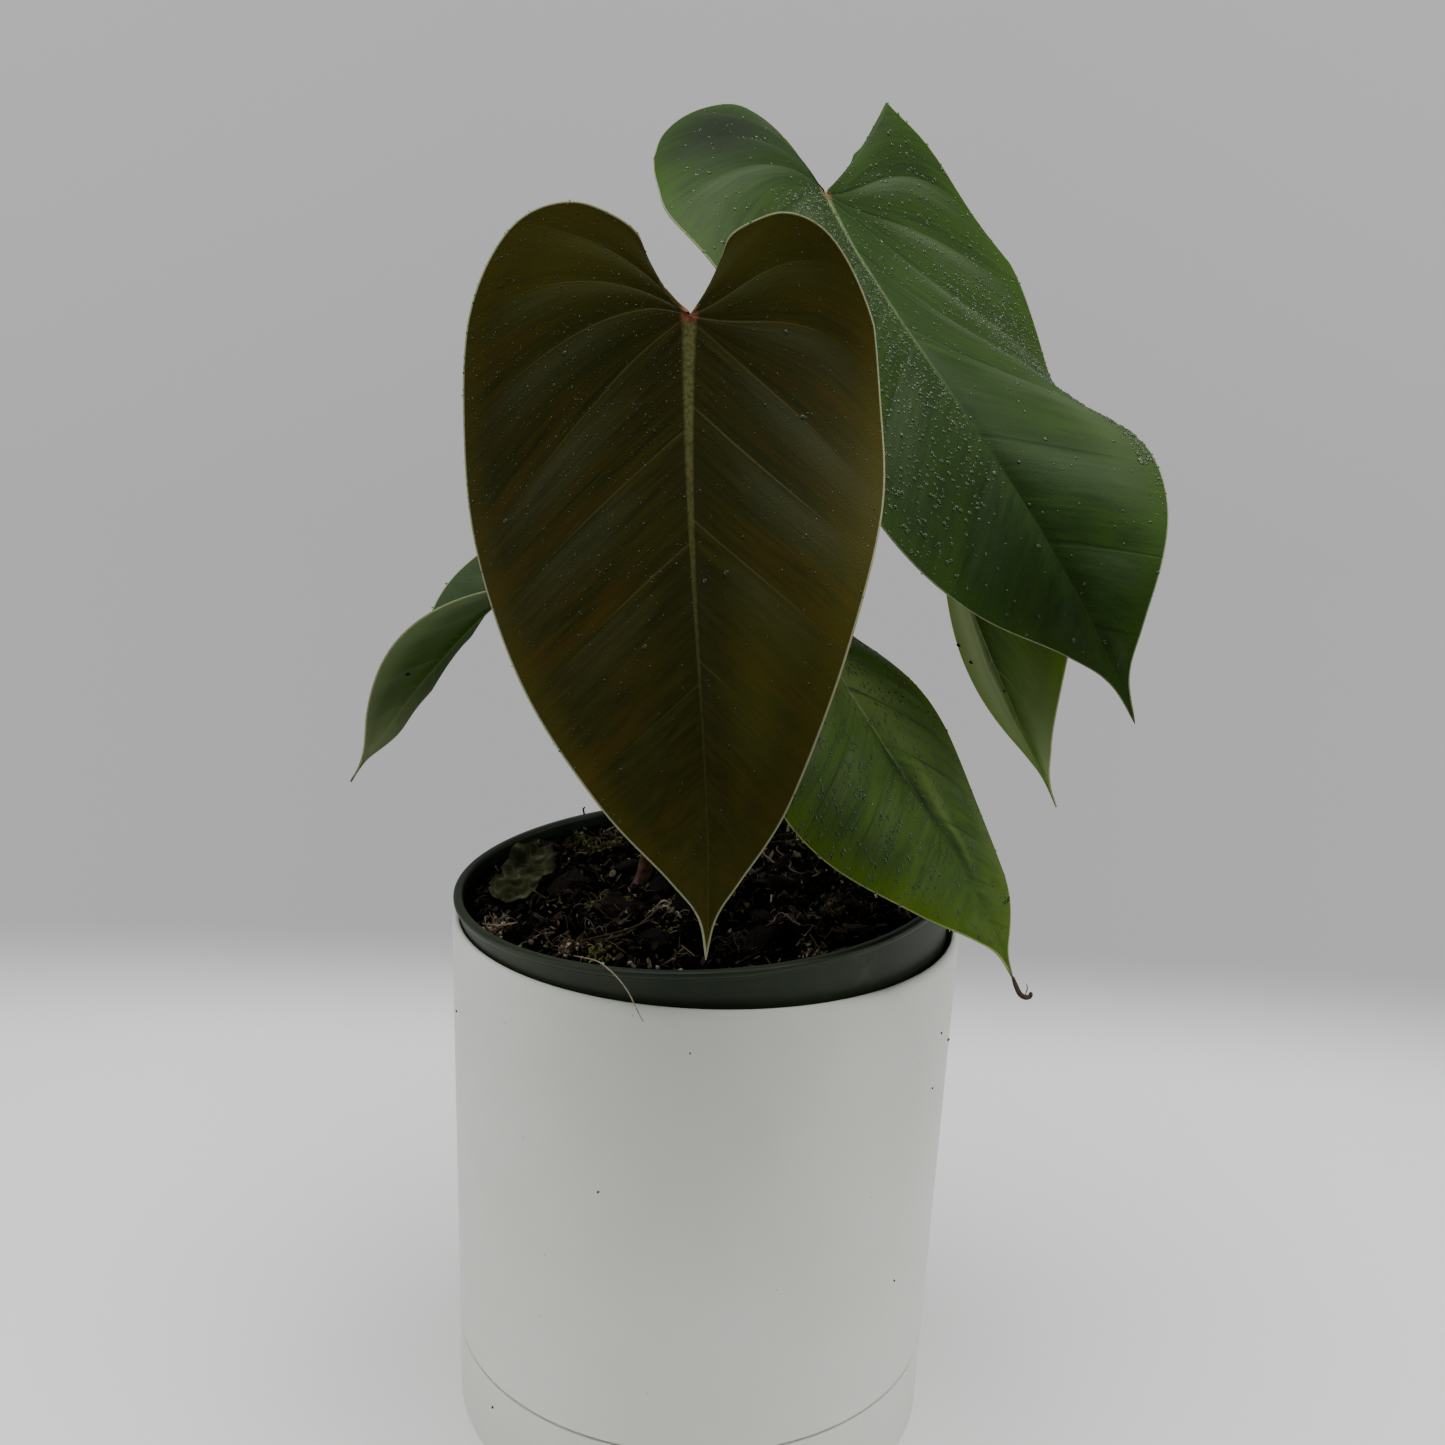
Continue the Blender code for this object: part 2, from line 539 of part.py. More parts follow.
def main():
    clear_scene()
    plant = new_collection("potted_philodendron_lynamii")
    stalk_room = new_collection("stalk_room")
    stem_room = new_collection("stem_room")
    surfaces = {name: material(name, colour, rough) for name, (colour, rough) in COLOURS.items()}

    make_saucer(plant, surfaces["white_ceramic"])
    make_ceramic_pot(plant, surfaces["white_ceramic"])
    make_grower_pot(plant, surfaces["green_plastic"])

    stem_route = smooth_curve(STEM_ROUTE, STEM_POINTS)
    thick = stem_radii(STEM_POINTS)
    stem = tube("creeping_stem", stem_route, thick, plant, surfaces["stem_green"], sides=6)
    tube("stem_clearance", stem_route, thick, stem_room, sides=6, extra=GAP)

    for name, leaf in LEAVES.items():
        route = petiole_route(leaf)
        radii = petiole_radii(len(route))
        tube(name + "_petiole", route, radii, plant, surfaces["petiole_red"])
        clearance = tube(name + "_clearance", route[:FOOT_POINTS], radii[:FOOT_POINTS], stalk_room, extra=GAP)
        stem_room.objects.link(clearance)
        blade_surface = material(name + "_blade_green", leaf["colour"], 0.42)
        make_blade(name + "_blade", leaf, plant, blade_surface)

    apply_boolean(stem, "DIFFERENCE", stalk_room)
    make_soil(plant, surfaces["bark_mix"], stem_room)
    for cutter in list(stem_room.objects):
        cutter.hide_render = True
        cutter.display_type = "WIRE"


main()
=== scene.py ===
"""The looks of a potted philodendron lynamii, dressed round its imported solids.

Five heart-shaped leaves on long stalks grow from a creeping stem in a bark and peat mix. The
thin green grower's pot stands a little askew in a matte white ceramic pot with a flush saucer,
and four leaves carry a spray of fine water drops. Lengths are in millimetres and angles in
degrees until a mesh is made. +Z is up and +Y points away from the camera.
"""
import math

import bmesh
import bpy
import numpy as np
from mathutils import Matrix


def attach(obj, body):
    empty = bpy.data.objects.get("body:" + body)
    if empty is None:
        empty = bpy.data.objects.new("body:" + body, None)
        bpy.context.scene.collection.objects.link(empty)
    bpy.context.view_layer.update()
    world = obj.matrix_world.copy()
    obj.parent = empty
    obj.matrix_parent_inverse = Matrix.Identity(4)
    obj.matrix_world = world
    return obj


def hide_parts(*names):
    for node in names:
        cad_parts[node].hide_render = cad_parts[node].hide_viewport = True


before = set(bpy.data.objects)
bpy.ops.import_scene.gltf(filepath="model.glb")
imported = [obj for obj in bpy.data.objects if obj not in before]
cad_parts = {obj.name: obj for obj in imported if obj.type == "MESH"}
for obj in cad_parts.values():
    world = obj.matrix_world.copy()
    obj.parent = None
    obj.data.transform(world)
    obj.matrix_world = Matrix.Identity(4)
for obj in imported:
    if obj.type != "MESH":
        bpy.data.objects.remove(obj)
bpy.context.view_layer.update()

MM = 0.001
BODY = "root"
TURN = 2 * math.pi
MERGE_METRES = 0.000002         # points closer together than this become one
LATTICE_SIDE = 128              # corners along each side of a table of lattice noise

# White ceramic pot and its saucer, which share one slightly flaring outside.
FOOT_RADIUS = 79.1
FLARE_PER_MM = 0.0201
POT_TOP = 171.0
LIP_ROLL = 2.6                  # how far below its top the pot's outer edge starts to round over
SEAM_HEIGHT = 26.9
SEAM_GAP = 0.3
SAUCER_WALL = 5.0
SAUCER_FLOOR = 6.0
CERAMIC_FLOOR = 14.0
CERAMIC_WALL = 5.0
MOUTH_RADIUS = 80.1
MOUTH_DEPTH = 18.0
CERAMIC_DRAIN = 9.0
FOOT_PLAY = 1.2                 # between the pot's foot and the saucer's wall
LIP_FLAT = 1.2                  # how far in from the rolled edge the lip is flat
ROLL_IN, ROLL_DOWN = 0.35, 0.9  # a point halfway round the roll, from its edge and from the top
SLANT_IN, SLANT_DOWN = 3.0, 14.0    # how far in, over what height, the wall slants below the mouth

# Green grower's pot, in its own leaning frame with the rim's centre as the origin.
GROWER_RIM_CENTRE = (-1.7, 0.0, 184.0)
GROWER_RISE_RIGHT = 0.0705
GROWER_RISE_BACK = 0.0281
LIP_RADIUS = 80.8
COLLAR_RADIUS = 79.0
COLLAR_HEIGHT = 20.0
NECK_RADIUS = 76.4
GROWER_FOOT_RADIUS = 56.0
GROWER_HEIGHT = 165.6
GROWER_WALL = 1.3
GROWER_FLOOR = 1.8
GROWER_DRAIN = 6.0
COLLAR_STEP = 2.0               # over the collar's lower edge, where the inside has its full width

# Every turned profile and its rounded corners.
TURNED_STEPS = 180
CORNER_SHARE = 0.42             # the most of a side that a corner may take up
CORNER_POINTS = 6
CORNER_HOLD = 0.1               # of a corner's reach, how far off the point that holds the flat is

# Soil that fills the grower's pot to just under its lip.
SOIL_TOP = -4.6
SOIL_MOUND = 3.0
CHUNK_COUNT = 30
CHUNK_SEED = 11
CHUNK_REACH = 67.0
CHUNK_SMALLEST = (3.5, 2.5, 1.6)
CHUNK_LARGEST = (7.0, 4.5, 2.6)
CHUNK_TIP = 0.5
CHUNK_CORNERS = 12
GOLDEN_TURN = 0.381966
SOIL_REACH = 74.0
FIBRE_REACH = 76.5              # strands are drawn in to this radius
SOIL_RINGS = 110
SOIL_STEPS = 300

# Rows and columns of the globes that lumps are made from.
LUMP_GRID = (10, 16)
CRUMB_GRID = (4, 6)
GRIT_GRID = (6, 8)
SCAB_GRID = (7, 10)

# Leaves, drops, stalks and stem.
SHEET_HALF = 0.25               # half the thickness of a blade, and of the dead leaf
DROP_SIDES = 8
DROP_RINGS = ((1.0, -0.10), (0.88, 0.19), (0.52, 0.35))     # width and rise, as shares of the radius
DROP_APEX = 0.42
DROP_BASE = 0.20
RIDGE_BEADS = 90
LOWER_TIP = (87.2, -72.4, 180.4)
CAD_HALF = 0.4
PETIOLE_FOOT_RADIUS = 2.6
PETIOLE_TOP_RADIUS = 1.6
PETIOLE_SHEATH = 0.9
PETIOLE_SEAT_AHEAD = 2.2
PETIOLE_NECK = 2.5
STEM_RADIUS = 5.5
STEM_JOINTS = 5
STEM_ROUTE = ((-30, -5, 170.5), (-20, -1, 173.5), (-10, 4, 176), (-2, 11, 177), (3, 21, 177), (9, 32, 174))
STALK_KNOTS = 90
SEAT_KNOTS = 6
STALK_SIDES = 20
SHEATH_SPREAD = 0.09
KNUCKLE = 0.25                  # its height, then its place and spread as shares of the stalk
KNUCKLE_PLACE = 0.93
KNUCKLE_SPREAD = 0.035
STEM_KNOTS = 90
STEM_SIDES = 28
STEM_SWELL = 0.6
STEM_WAIST = 0.5
SECTION_GUIDE = (0.31, 0.83, 0.46)      # fixed direction that turns a swept section's sides

# Half outline of a blade: along the midrib as a share of its length, then out from it as a
# share of the half's width. It runs from the notch round the lobe to the drip tip.
HALF_OUTLINE = (
    (0.0, 0.0), (-0.055, 0.12), (-0.125, 0.27), (-0.165, 0.50), (-0.135, 0.76), (-0.03, 0.94),
    (0.12, 1.0), (0.32, 0.97), (0.55, 0.76), (0.75, 0.44), (0.87, 0.165), (0.93, 0.045), (1.0, 0.0),
)
LOBE_BACK = 0.165
VEIN_RAKE = 0.3
SINUS_START = 0.155
SINUS_BOW = 0.022
SINUS_BOW_SPREAD = 0.05
CORNER_PLACE = 0.2395
CORNER_SPREAD = 0.028
MARGIN_WAVES = 3.4
GROOVE_DEPTH = 0.5
GROOVE_WIDTH = 2.5
FOLD_STATIONS = (-0.2, 0.15, 0.55, 1.0)
FOLD_START = -0.25              # share of the midrib before which fold and curl stay level
ANGLES_START = -0.35            # and before which azimuth, pitch and roll do
MIDRIB_START = -0.4
MIDRIB_KNOTS = 141
OUTLINE_KNOTS = 241
SWEEP_END = 0.6
SWEEP_FADE = 0.2
EVEN_SHARE = 0.55               # of a column's place across; the other share follows half a cosine
COSINE_SHARE = 0.45
LEAST_BEND = 1e-6
NORMAL_HELP = 0.02              # of the upper side, for normals where the grid's cells shrink away
WIDEST_GAP = 60.0
RIB_DEPTH = 1.1
VEIN_RIB_DEPTH = 0.18
VEIN_RIB_SPREAD = 0.8
RIGHT_HALF_COUNT = 32.0         # added to the right half's vein counts, to tell the halves apart
HALF_SPLIT = 15.0
ACROSS_WEIGHT = 0.05

# Side veins of a blade as the places where they meet the margin, left half then right half,
# and how they sweep back over the lobe on the way: drift and bow, as shares of the outline.
COMMON_VEINS = ((0.20, 0.385, 0.484, 0.577, 0.615, 0.665, 0.725, 0.785, 0.85),
                (0.20, 0.335, 0.437, 0.515, 0.587, 0.626, 0.675, 0.735, 0.80))
COMMON_SWEEP = ((0.03, 0.05), (0.14, 0.0))

# Posture of each blade. azimuth, pitch and roll of the midrib are given at the notch, the
# middle and the tip; fold and curl of each half (left, right) at lobe, shoulder, middle and
# tip. fold tilts a half about the midrib and curl bends it on towards its margin. wave and puff
# are in mm, and midrib is its half width at the notch and at the tip. A swell is its half, its
# place and spread along the outline, and its push back and out in mm. A spot is its place along
# and across, its spread in each, and how pale it is; spots are partly the leaf's own tone and
# partly painted light and shade, such as a shaded fold or lobe and a lit ridge or tip. grid is
# rows, and columns to a half.
LEAVES = {
    "front": dict(
        notch=(-10.3, -72.4, 358.1), length=166.5, width=(50.5, 61.5), flare=(-0.10, -0.02),
        corner=(0.0, 0.0),
        lobe=(0.96, 1.01), azimuth=(-86, -72, -61), pitch=(-77, -71, -93), roll=(13, 23, 6),
        fold=((10, -1, 19, 2), (5, 4, 1, 2)), curl=((-10, -29, -11, 9), (-13, -14, -18, 0)),
        wave=0.5, puff=0.45, petiole=((-26.0, -3.5, 173), (-20, -3, 189), (-15, -19, 250), (-12, -46, 328)),
        veins=COMMON_VEINS, sweep=((0.0, 0.05), (0.14, 0.0)), midrib=(2.0, 0.35), grid=(190, 54),
        swells=((0, 0.175, 0.04, 0, -3.2), (1, 0.175, 0.04, 0, -2.0)),
        spots=((0.60, 0.95, 0.10, 0.25, 0.25), (0.30, 0.70, 0.12, 0.4, 0.4), (0.32, -0.7, 0.12, 0.4, 0.45),
               (0.85, 0.0, 0.06, 1.0, 0.2), (0.72, 0.55, 0.05, 0.25, 0.3)),
        slot="leaf_bronze"),
    "upper": dict(
        notch=(29.2, 47.0, 401.2), length=208.0, width=(82.0, 67.0), flare=(-0.15, -0.27), corner=(7.8, 1.0),
        lobe=(1.26, 1.43), azimuth=(-71, -43, -4), pitch=(-36, -46, -67), roll=(-8, 24, 105),
        fold=((30, -20, 8, 10), (20, 22, -4, -4)), curl=((-86, 18, -72, 35), (-75, -34, 36, -26)),
        wave=0.6, puff=1.6, petiole=((1.0, 17.0, 177), (2, 18, 195), (8, 28, 280), (17, 41, 360)),
        veins=COMMON_VEINS, sweep=COMMON_SWEEP, midrib=(2.1, 0.4), grid=(190, 54),
        swells=((1, 0.435, 0.03, 0, -2.2), (1, 0.522, 0.03, 0, 3.5), (1, 0.165, 0.03, 0, 2.0),
                (0, 0.175, 0.035, -2.6, 0)),
        spots=((0.40, -0.70, 0.09, 0.30, -0.9), (0.30, -0.5, 0.08, 0.6, -0.4), (0.52, -0.9, 0.05, 0.2, 0.2),
               (0.70, -0.40, 0.05, 0.3, -0.2), (0.80, -0.50, 0.07, 0.5, -0.5), (0.26, 0.8, 0.05, 0.3, -0.1),
               (0.70, 0.80, 0.04, 0.2, 0.3)),
        slot="leaf_dark_green"),
    "left": dict(
        notch=(-48.0, 19.1, 290.7), length=109.0, width=(50.0, 58.5), flare=(0.0, 0.0), corner=(0.0, 0.0),
        lobe=(1.0, 1.0), azimuth=(187, 197, 183), pitch=(-38, -48, -61), roll=(-11, 8, -3),
        fold=((28, 6, 23, -10), (-11, -7, -36, -12)), curl=((0, 0, 0, 0), (65, 21, 117, 12)),
        wave=0.1, puff=0.8, petiole=((-14.0, 2.0, 176), (-14, 5, 192), (-23, 11, 238), (-35, 17, 270)),
        veins=COMMON_VEINS, sweep=COMMON_SWEEP, midrib=(1.5, 0.3), grid=(120, 36),
        spots=((0.87, 0.0, 0.09, 1.0, 1.0), (0.62, -0.98, 0.2, 0.4, 0.15), (0.74, 1.0, 0.16, 0.3, 0.6)),
        slot="leaf_green"),
    "lower": dict(
        notch=(30.7, -31.0, 266.7), length=111.5, width=(48.5, 49.5), flare=(0.0, 0.0), corner=(0.0, 0.0),
        lobe=(1.0, 1.0), azimuth=(-32, -36, -43), pitch=(-52, -48, -60), roll=(-15, 2, 13),
        fold=((-1, 11, -4, 4), (1, 1, -5, -3)), curl=((-32, -17, -23, -8), (-29, -26, -37, 2)),
        wave=0.8, puff=1.2, petiole=((-4.0, 8.0, 177), (-2, 6, 192), (8, -5, 222), (18, -17, 247)),
        veins=COMMON_VEINS, sweep=COMMON_SWEEP, midrib=(1.4, 0.3), grid=(160, 46),
        swells=((0, 0.452, 0.022, 0, 2.6),),
        spots=((0.60, 0.12, 0.05, 0.30, 1.0), (0.70, 0.95, 0.12, 0.15, 0.3), (0.66, -0.8, 0.06, 0.2, -0.3),
               (0.675, -0.06, 0.025, 0.06, -0.8), (0.712, 0.02, 0.025, 0.06, -0.9),
               (0.755, 0.12, 0.03, 0.07, -0.7), (0.715, 0.22, 0.05, 0.09, 0.5)),
        slot="leaf_bright_green"),
    "back": dict(
        notch=(66.4, 35.6, 318.8), length=155.0, width=(45.0, 49.0), flare=(0.0, 0.0), corner=(0.0, 0.0),
        lobe=(1.0, 1.0), azimuth=(45, 37, 28), pitch=(-63, -56, -61), roll=(2, 15, 10),
        fold=((5, 37, 4, 3), (8, 22, 4, -4)), curl=((0, 0, 0, 0), (0, 0, 0, 0)),
        wave=0.4, puff=0.4, petiole=((7.0, 28.0, 175), (9, 28, 192), (23, 30, 245), (43, 33, 296)),
        veins=COMMON_VEINS, sweep=COMMON_SWEEP, midrib=(1.7, 0.3), grid=(120, 36),
        swells=((0, 0.65, 0.07, 0, -0.3),),
        spots=((0.68, 0.65, 0.15, 0.30, 0.9), (0.70, 0.05, 0.2, 0.12, -0.5), (0.83, -0.9, 0.12, 0.4, 0.7),
               (0.72, 0.42, 0.2, 0.05, 0.4)),
        slot="leaf_yellow_green"),
}


def linear(colour):
    """An sRGB hex colour as the linear values that a shader works in, with alpha 1."""
    channels = [int(colour[at:at + 2], 16) / 255 for at in (1, 3, 5)]
    return (*[c / 12.92 if c <= 0.04045 else ((c + 0.055) / 1.055) ** 2.4 for c in channels], 1.0)


def add(tree, kind, inputs=None, output=0, stops=None, **settings):
    """Adds a node. inputs go by socket name or number and are values or other nodes' sockets,
    stops are a colour ramp's places and colours, and settings are the node's own properties."""
    made = tree.nodes.new("ShaderNode" + kind)
    for key, value in settings.items():
        setattr(made, key, value)
    for key, value in (inputs or {}).items():
        if isinstance(value, bpy.types.NodeSocket):
            tree.links.new(value, made.inputs[key])
        else:
            made.inputs[key].default_value = value
    if stops:
        ramp = made.color_ramp.elements
        while len(ramp) < len(stops):
            ramp.new(0.5)
        for element, (place, colour) in zip(ramp, stops):
            element.position = place
            element.color = linear(colour)
    return made.outputs[output] if made.outputs else None


def new_surface(name):
    """An empty material and its node tree."""
    made = bpy.data.materials.new(name)
    made.use_nodes = True
    made.node_tree.nodes.clear()
    return made, made.node_tree


def finished(made, inputs):
    """The material, with one shader that has these inputs joined to its output."""
    shader = add(made.node_tree, "BsdfPrincipled", inputs)
    add(made.node_tree, "OutputMaterial", {"Surface": shader})
    return made


def noise(tree, vector, scale, detail, roughness):
    """Noise read at the places in vector."""
    return add(tree, "TexNoise", {
        "Vector": vector, "Scale": scale, "Detail": detail, "Roughness": roughness})


def relief(tree, height, strength, distance):
    """The normal of a skin with this relief, whose full height is distance in metres."""
    return add(tree, "Bump", {"Strength": strength, "Distance": distance, "Height": height})


def smooth_range(tree, value, low, high, first=0.0, last=1.0):
    """From first, where the value is low or less, smoothly to last, where it is high or more."""
    ends = {0: value, 1: low, 2: high, 3: first, 4: last}
    return add(tree, "MapRange", ends, interpolation_type="SMOOTHSTEP")


def tint_over(tree, share, under, tint):
    """A colour with this share of a hex colour laid over it."""
    return add(tree, "Mix", {0: share, 6: under, 7: linear(tint)}, output=2, data_type="RGBA")


def components(tree, vector):
    """The x, y and z of a vector."""
    apart = tree.nodes.new("ShaderNodeSeparateXYZ")
    tree.links.new(vector, apart.inputs[0])
    return apart.outputs


def new_object(name, data):
    """An object that holds this data, linked into the scene."""
    made = bpy.data.objects.new(name, data)
    bpy.context.scene.collection.objects.link(made)
    return made


def stand(thing, side, up, back, place):
    """Puts a camera or a lamp at a place, with its own axes along side, up and back."""
    matrix = np.eye(4)
    matrix[:3, 0], matrix[:3, 1], matrix[:3, 2], matrix[:3, 3] = side, up, back, place
    thing.matrix_world = Matrix(matrix.tolist())


def grid_faces(rows, columns, closed=False):
    """Quads of a grid of points held row by row. closed joins the last column to the first."""
    row = np.arange(rows - 1)[:, None]
    here = np.arange(columns if closed else columns - 1)[None, :]
    beside = (here + 1) % columns
    above, below = row * columns, (row + 1) * columns
    corners = np.broadcast_arrays(above + here, below + here, below + beside, above + beside)
    return np.stack(corners, -1).reshape(-1, 4)


def add_piece(name, points, faces, surfaces, node=None, values=None, picks=None, crease=None):
    """One finished mesh at the origin from points in mm. values are named numbers per point,
    picks choose each face's surface, and crease keeps edges sharper than that angle."""
    mesh = bpy.data.meshes.new(name)
    mesh.from_pydata((np.asarray(points) * MM).tolist(), [], np.asarray(faces).tolist())
    for key, numbers in (values or {}).items():
        layer = mesh.attributes.new(key, "FLOAT", "POINT")
        layer.data.foreach_set("value", np.asarray(numbers, np.float32).ravel())
    for surface in surfaces:
        mesh.materials.append(surface)
    if picks is not None:
        mesh.polygons.foreach_set("material_index", np.asarray(picks, np.int32))
    shape = bmesh.new()
    shape.from_mesh(mesh)
    bmesh.ops.remove_doubles(shape, verts=shape.verts, dist=MERGE_METRES)
    shape.to_mesh(mesh)
    shape.free()
    mesh.shade_smooth()
    if crease:
        mesh.set_sharp_from_angle(angle=math.radians(crease))
    piece = new_object(name, mesh)
    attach(piece, BODY)
    if node:
        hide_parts(node)


def smooth_curve(points, count):
    """Catmull-Rom curve through the points, read at count even places."""
    given = np.asarray(points, float)
    ends = np.vstack([2 * given[0] - given[1], given, 2 * given[-1] - given[-2]])
    place = np.linspace(0, len(given) - 1, count)
    index = np.minimum(place.astype(int), len(given) - 2)
    t = (place - index)[:, None]
    a, b, c, d = ends[index], ends[index + 1], ends[index + 2], ends[index + 3]
    return 0.5 * (2 * b + (c - a) * t + (2 * a - 5 * b + 4 * c - d) * t**2 + (3 * b - a - 3 * c + d) * t**3)


def ease(x):
    """0 below 0, 1 above 1, and the smooth step 3x^2 - 2x^3 between."""
    x = np.clip(x, 0, 1)
    return x * x * (3 - 2 * x)


def unit(rows):
    """Rows of directions scaled to length 1."""
    return rows / np.maximum(np.linalg.norm(rows, axis=-1, keepdims=True), 1e-12)


def lattice_noise(x, y, cell, seed):
    """Random heights from -1 to 1 on a square lattice of this cell, eased between its corners."""
    table = np.random.default_rng(seed).uniform(-1, 1, (LATTICE_SIDE, LATTICE_SIDE))
    gx, gy = x / cell, y / cell
    ix, iy = np.floor(gx).astype(int), np.floor(gy).astype(int)
    fx, fy = ease(gx - ix), ease(gy - iy)

    def corner(dx, dy):
        return table[(ix + dx) % LATTICE_SIDE, (iy + dy) % LATTICE_SIDE]

    low = corner(0, 0) * (1 - fx) + corner(1, 0) * fx
    high = corner(0, 1) * (1 - fx) + corner(1, 1) * fx
    return low * (1 - fy) + high * fy


# Leaf blades

def through_three(values, x):
    """Parabola through values at 0, one half and 1, held level beyond the lobes."""
    x = np.clip(x, ANGLES_START, 1)
    return values[0] * (1 - x) * (1 - 2 * x) + values[1] * 4 * x * (1 - x) + values[2] * x * (2 * x - 1)


def through_stations(values, x):
    """Cubic through one value at each fold station."""
    x = np.clip(x, FOLD_START, 1)
    total = 0
    for here, value in zip(FOLD_STATIONS, values):
        weight = 1.0
        for other in FOLD_STATIONS:
            if other != here:
                weight = weight * (x - other) / (here - other)
        total = total + value * weight
    return total


def midrib(leaf, share):
    """Point, direction, left side and upper side of the midrib at a share of its length.

    The direction turns by azimuth and pitch, the sides by roll, and the points add up the
    direction along the way.
    """
    knots = np.linspace(MIDRIB_START, 1.0, MIDRIB_KNOTS)
    azimuth, pitch, roll = (
        np.radians(through_three(leaf[key], knots)) for key in ("azimuth", "pitch", "roll"))
    ahead = np.stack([np.cos(pitch) * np.cos(azimuth), np.cos(pitch) * np.sin(azimuth), np.sin(pitch)], 1)
    level = np.stack([-np.sin(azimuth), np.cos(azimuth), 0 * azimuth], 1)
    upright = np.cross(ahead, level)
    left = np.cos(roll)[:, None] * level + np.sin(roll)[:, None] * upright
    upper = -np.sin(roll)[:, None] * level + np.cos(roll)[:, None] * upright
    step = (knots[1] - knots[0]) * leaf["length"]
    line = np.vstack([np.zeros(3), np.cumsum((ahead[1:] + ahead[:-1]) / 2 * step, 0)])

    def read(rows):
        return np.stack([np.interp(share, knots, rows[:, axis]) for axis in range(3)], -1)

    start = np.array([np.interp(0, knots, line[:, axis]) for axis in range(3)])
    return read(line - start + np.array(leaf["notch"])), read(ahead), read(left), read(upper)


def blade_sheet(leaf, v, w):
    """Middle of the blade at v, from notch to tip along the outline, and w, from -1 to 1 across.

    A line across runs from a foot on the midrib to the outline. The first ones, which edge the
    notch, sag towards the tip by bow * 4 * reach * (1 - reach). Each half leaves the midrib
    at its fold angle and bends by its curl, so it follows an arc. A left lobe's corner is
    pushed back and out, in mm, and the push dies away as exp(-distance / spread). Swells push
    one half's margin back and out too, and die away as exp(-(distance / spread)^2). The margin
    waves, the blade puffs up between the side veins, and the midrib lies in a groove. Also
    returns the blade's own coordinates: share of the midrib, distance from it, vein count and
    upper side.
    """
    outline = smooth_curve(HALF_OUTLINE, OUTLINE_KNOTS)
    fine = np.linspace(0, 1, len(outline))
    along = np.interp(v, fine, outline[:, 0])
    out = np.maximum(np.interp(v, fine, outline[:, 1]), 0)
    side = np.where(w >= 0, 0, 1)
    sign = np.where(w >= 0, 1.0, -1.0)
    lobe = np.array(leaf["lobe"])[side]
    width = np.array(leaf["width"])[side]
    flare = np.array(leaf["flare"])[side]
    margin_along = np.where(along < 0, along * lobe, along)
    margin_out = out * width * (1 + flare * np.clip(-along / LOBE_BACK, 0, 1))
    back, wide = leaf["corner"]
    crest = np.exp(-np.abs(v - CORNER_PLACE) / CORNER_SPREAD) * (side == 0)
    margin_along = margin_along - back / leaf["length"] * crest
    margin_out = margin_out + wide * crest
    for half, place, spread, back, wide in leaf.get("swells", ()):
        bell = np.exp(-(((v - place) / spread) ** 2)) * (side == half)
        margin_along = margin_along - back / leaf["length"] * bell
        margin_out = margin_out + wide * bell
    foot = np.maximum(0, margin_along - VEIN_RAKE * out)
    reach = np.abs(w)
    share = foot * (1 - reach) + margin_along * reach
    share = share + SINUS_BOW * 4 * reach * (1 - reach) * np.exp((SINUS_START - v) / SINUS_BOW_SPREAD)
    distance = margin_out * reach
    point, _, left, upper = midrib(leaf, share)
    fold = np.where(side == 0, *(through_stations(leaf["fold"][k], share) for k in (0, 1)))
    curl = np.where(side == 0, *(through_stations(leaf["curl"][k], share) for k in (0, 1)))
    fold = np.radians(fold)
    bend = np.radians(curl) / width
    bend = np.where(np.abs(bend) < LEAST_BEND, LEAST_BEND, bend)
    turned = fold + bend * distance
    outward = (np.sin(turned) - np.sin(fold)) / bend
    upward = (np.cos(fold) - np.cos(turned)) / bend
    count = vein_count(leaf, v, reach, side)
    crest = np.sin(math.pi * (count % 1) ** 0.8)
    puff = leaf["puff"] * crest * np.clip(4 * reach * (1 - reach), 0, 1) ** 0.8 * np.clip(out * 2, 0, 1)
    ripples = np.sin(TURN * (MARGIN_WAVES * v + 0.25 * sign))
    wave = leaf["wave"] * reach**2 * ripples * np.clip(out * 2, 0, 1)
    groove = -GROOVE_DEPTH * np.exp(-((distance / GROOVE_WIDTH) ** 2)) * np.clip(share * 8, 0, 1)
    lift = upward + puff + wave + groove
    place = point + (sign * outward)[..., None] * left + lift[..., None] * upper
    return place, share, distance, count, upper


def vein_count(leaf, v, reach, side):
    """How many side veins lie between the notch and a place on a half: a whole number on a vein.

    Near the notch the veins sweep back over the lobe, so the place v is first shifted by
    drift * (1 - reach) + bow * 4 * reach * (1 - reach), which fades out from v 0.4 to 0.6.
    """
    drift = np.array([sweep[0] for sweep in leaf["sweep"]])[side]
    bow = np.array([sweep[1] for sweep in leaf["sweep"]])[side]
    fade = np.clip((SWEEP_END - v) / SWEEP_FADE, 0, 1)
    swept = v + (drift * (1 - reach) + bow * 4 * reach * (1 - reach)) * fade
    left, right = ([0, *places, 1] for places in leaf["veins"])
    left_count = np.interp(swept, left, range(len(left)))
    return np.where(side == 0, left_count, np.interp(swept, right, range(len(right))))


def slopes(places):
    """Steps of a grid of places per row and per column."""
    return np.gradient(places, axis=0), np.gradient(places, axis=1)


def steepness(field, down, across):
    """How fast a field on the grid changes per mm of surface, from the surface's own metric."""
    rise_down, rise_across = np.gradient(field, axis=0), np.gradient(field, axis=1)
    dd, aa, da = (down**2).sum(-1), (across**2).sum(-1), (down * across).sum(-1)
    area = np.maximum(dd * aa - da**2, 1e-9)
    squared = (aa * rise_down**2 - 2 * da * rise_down * rise_across + dd * rise_across**2) / area
    return np.sqrt(np.maximum(squared, 1e-12))


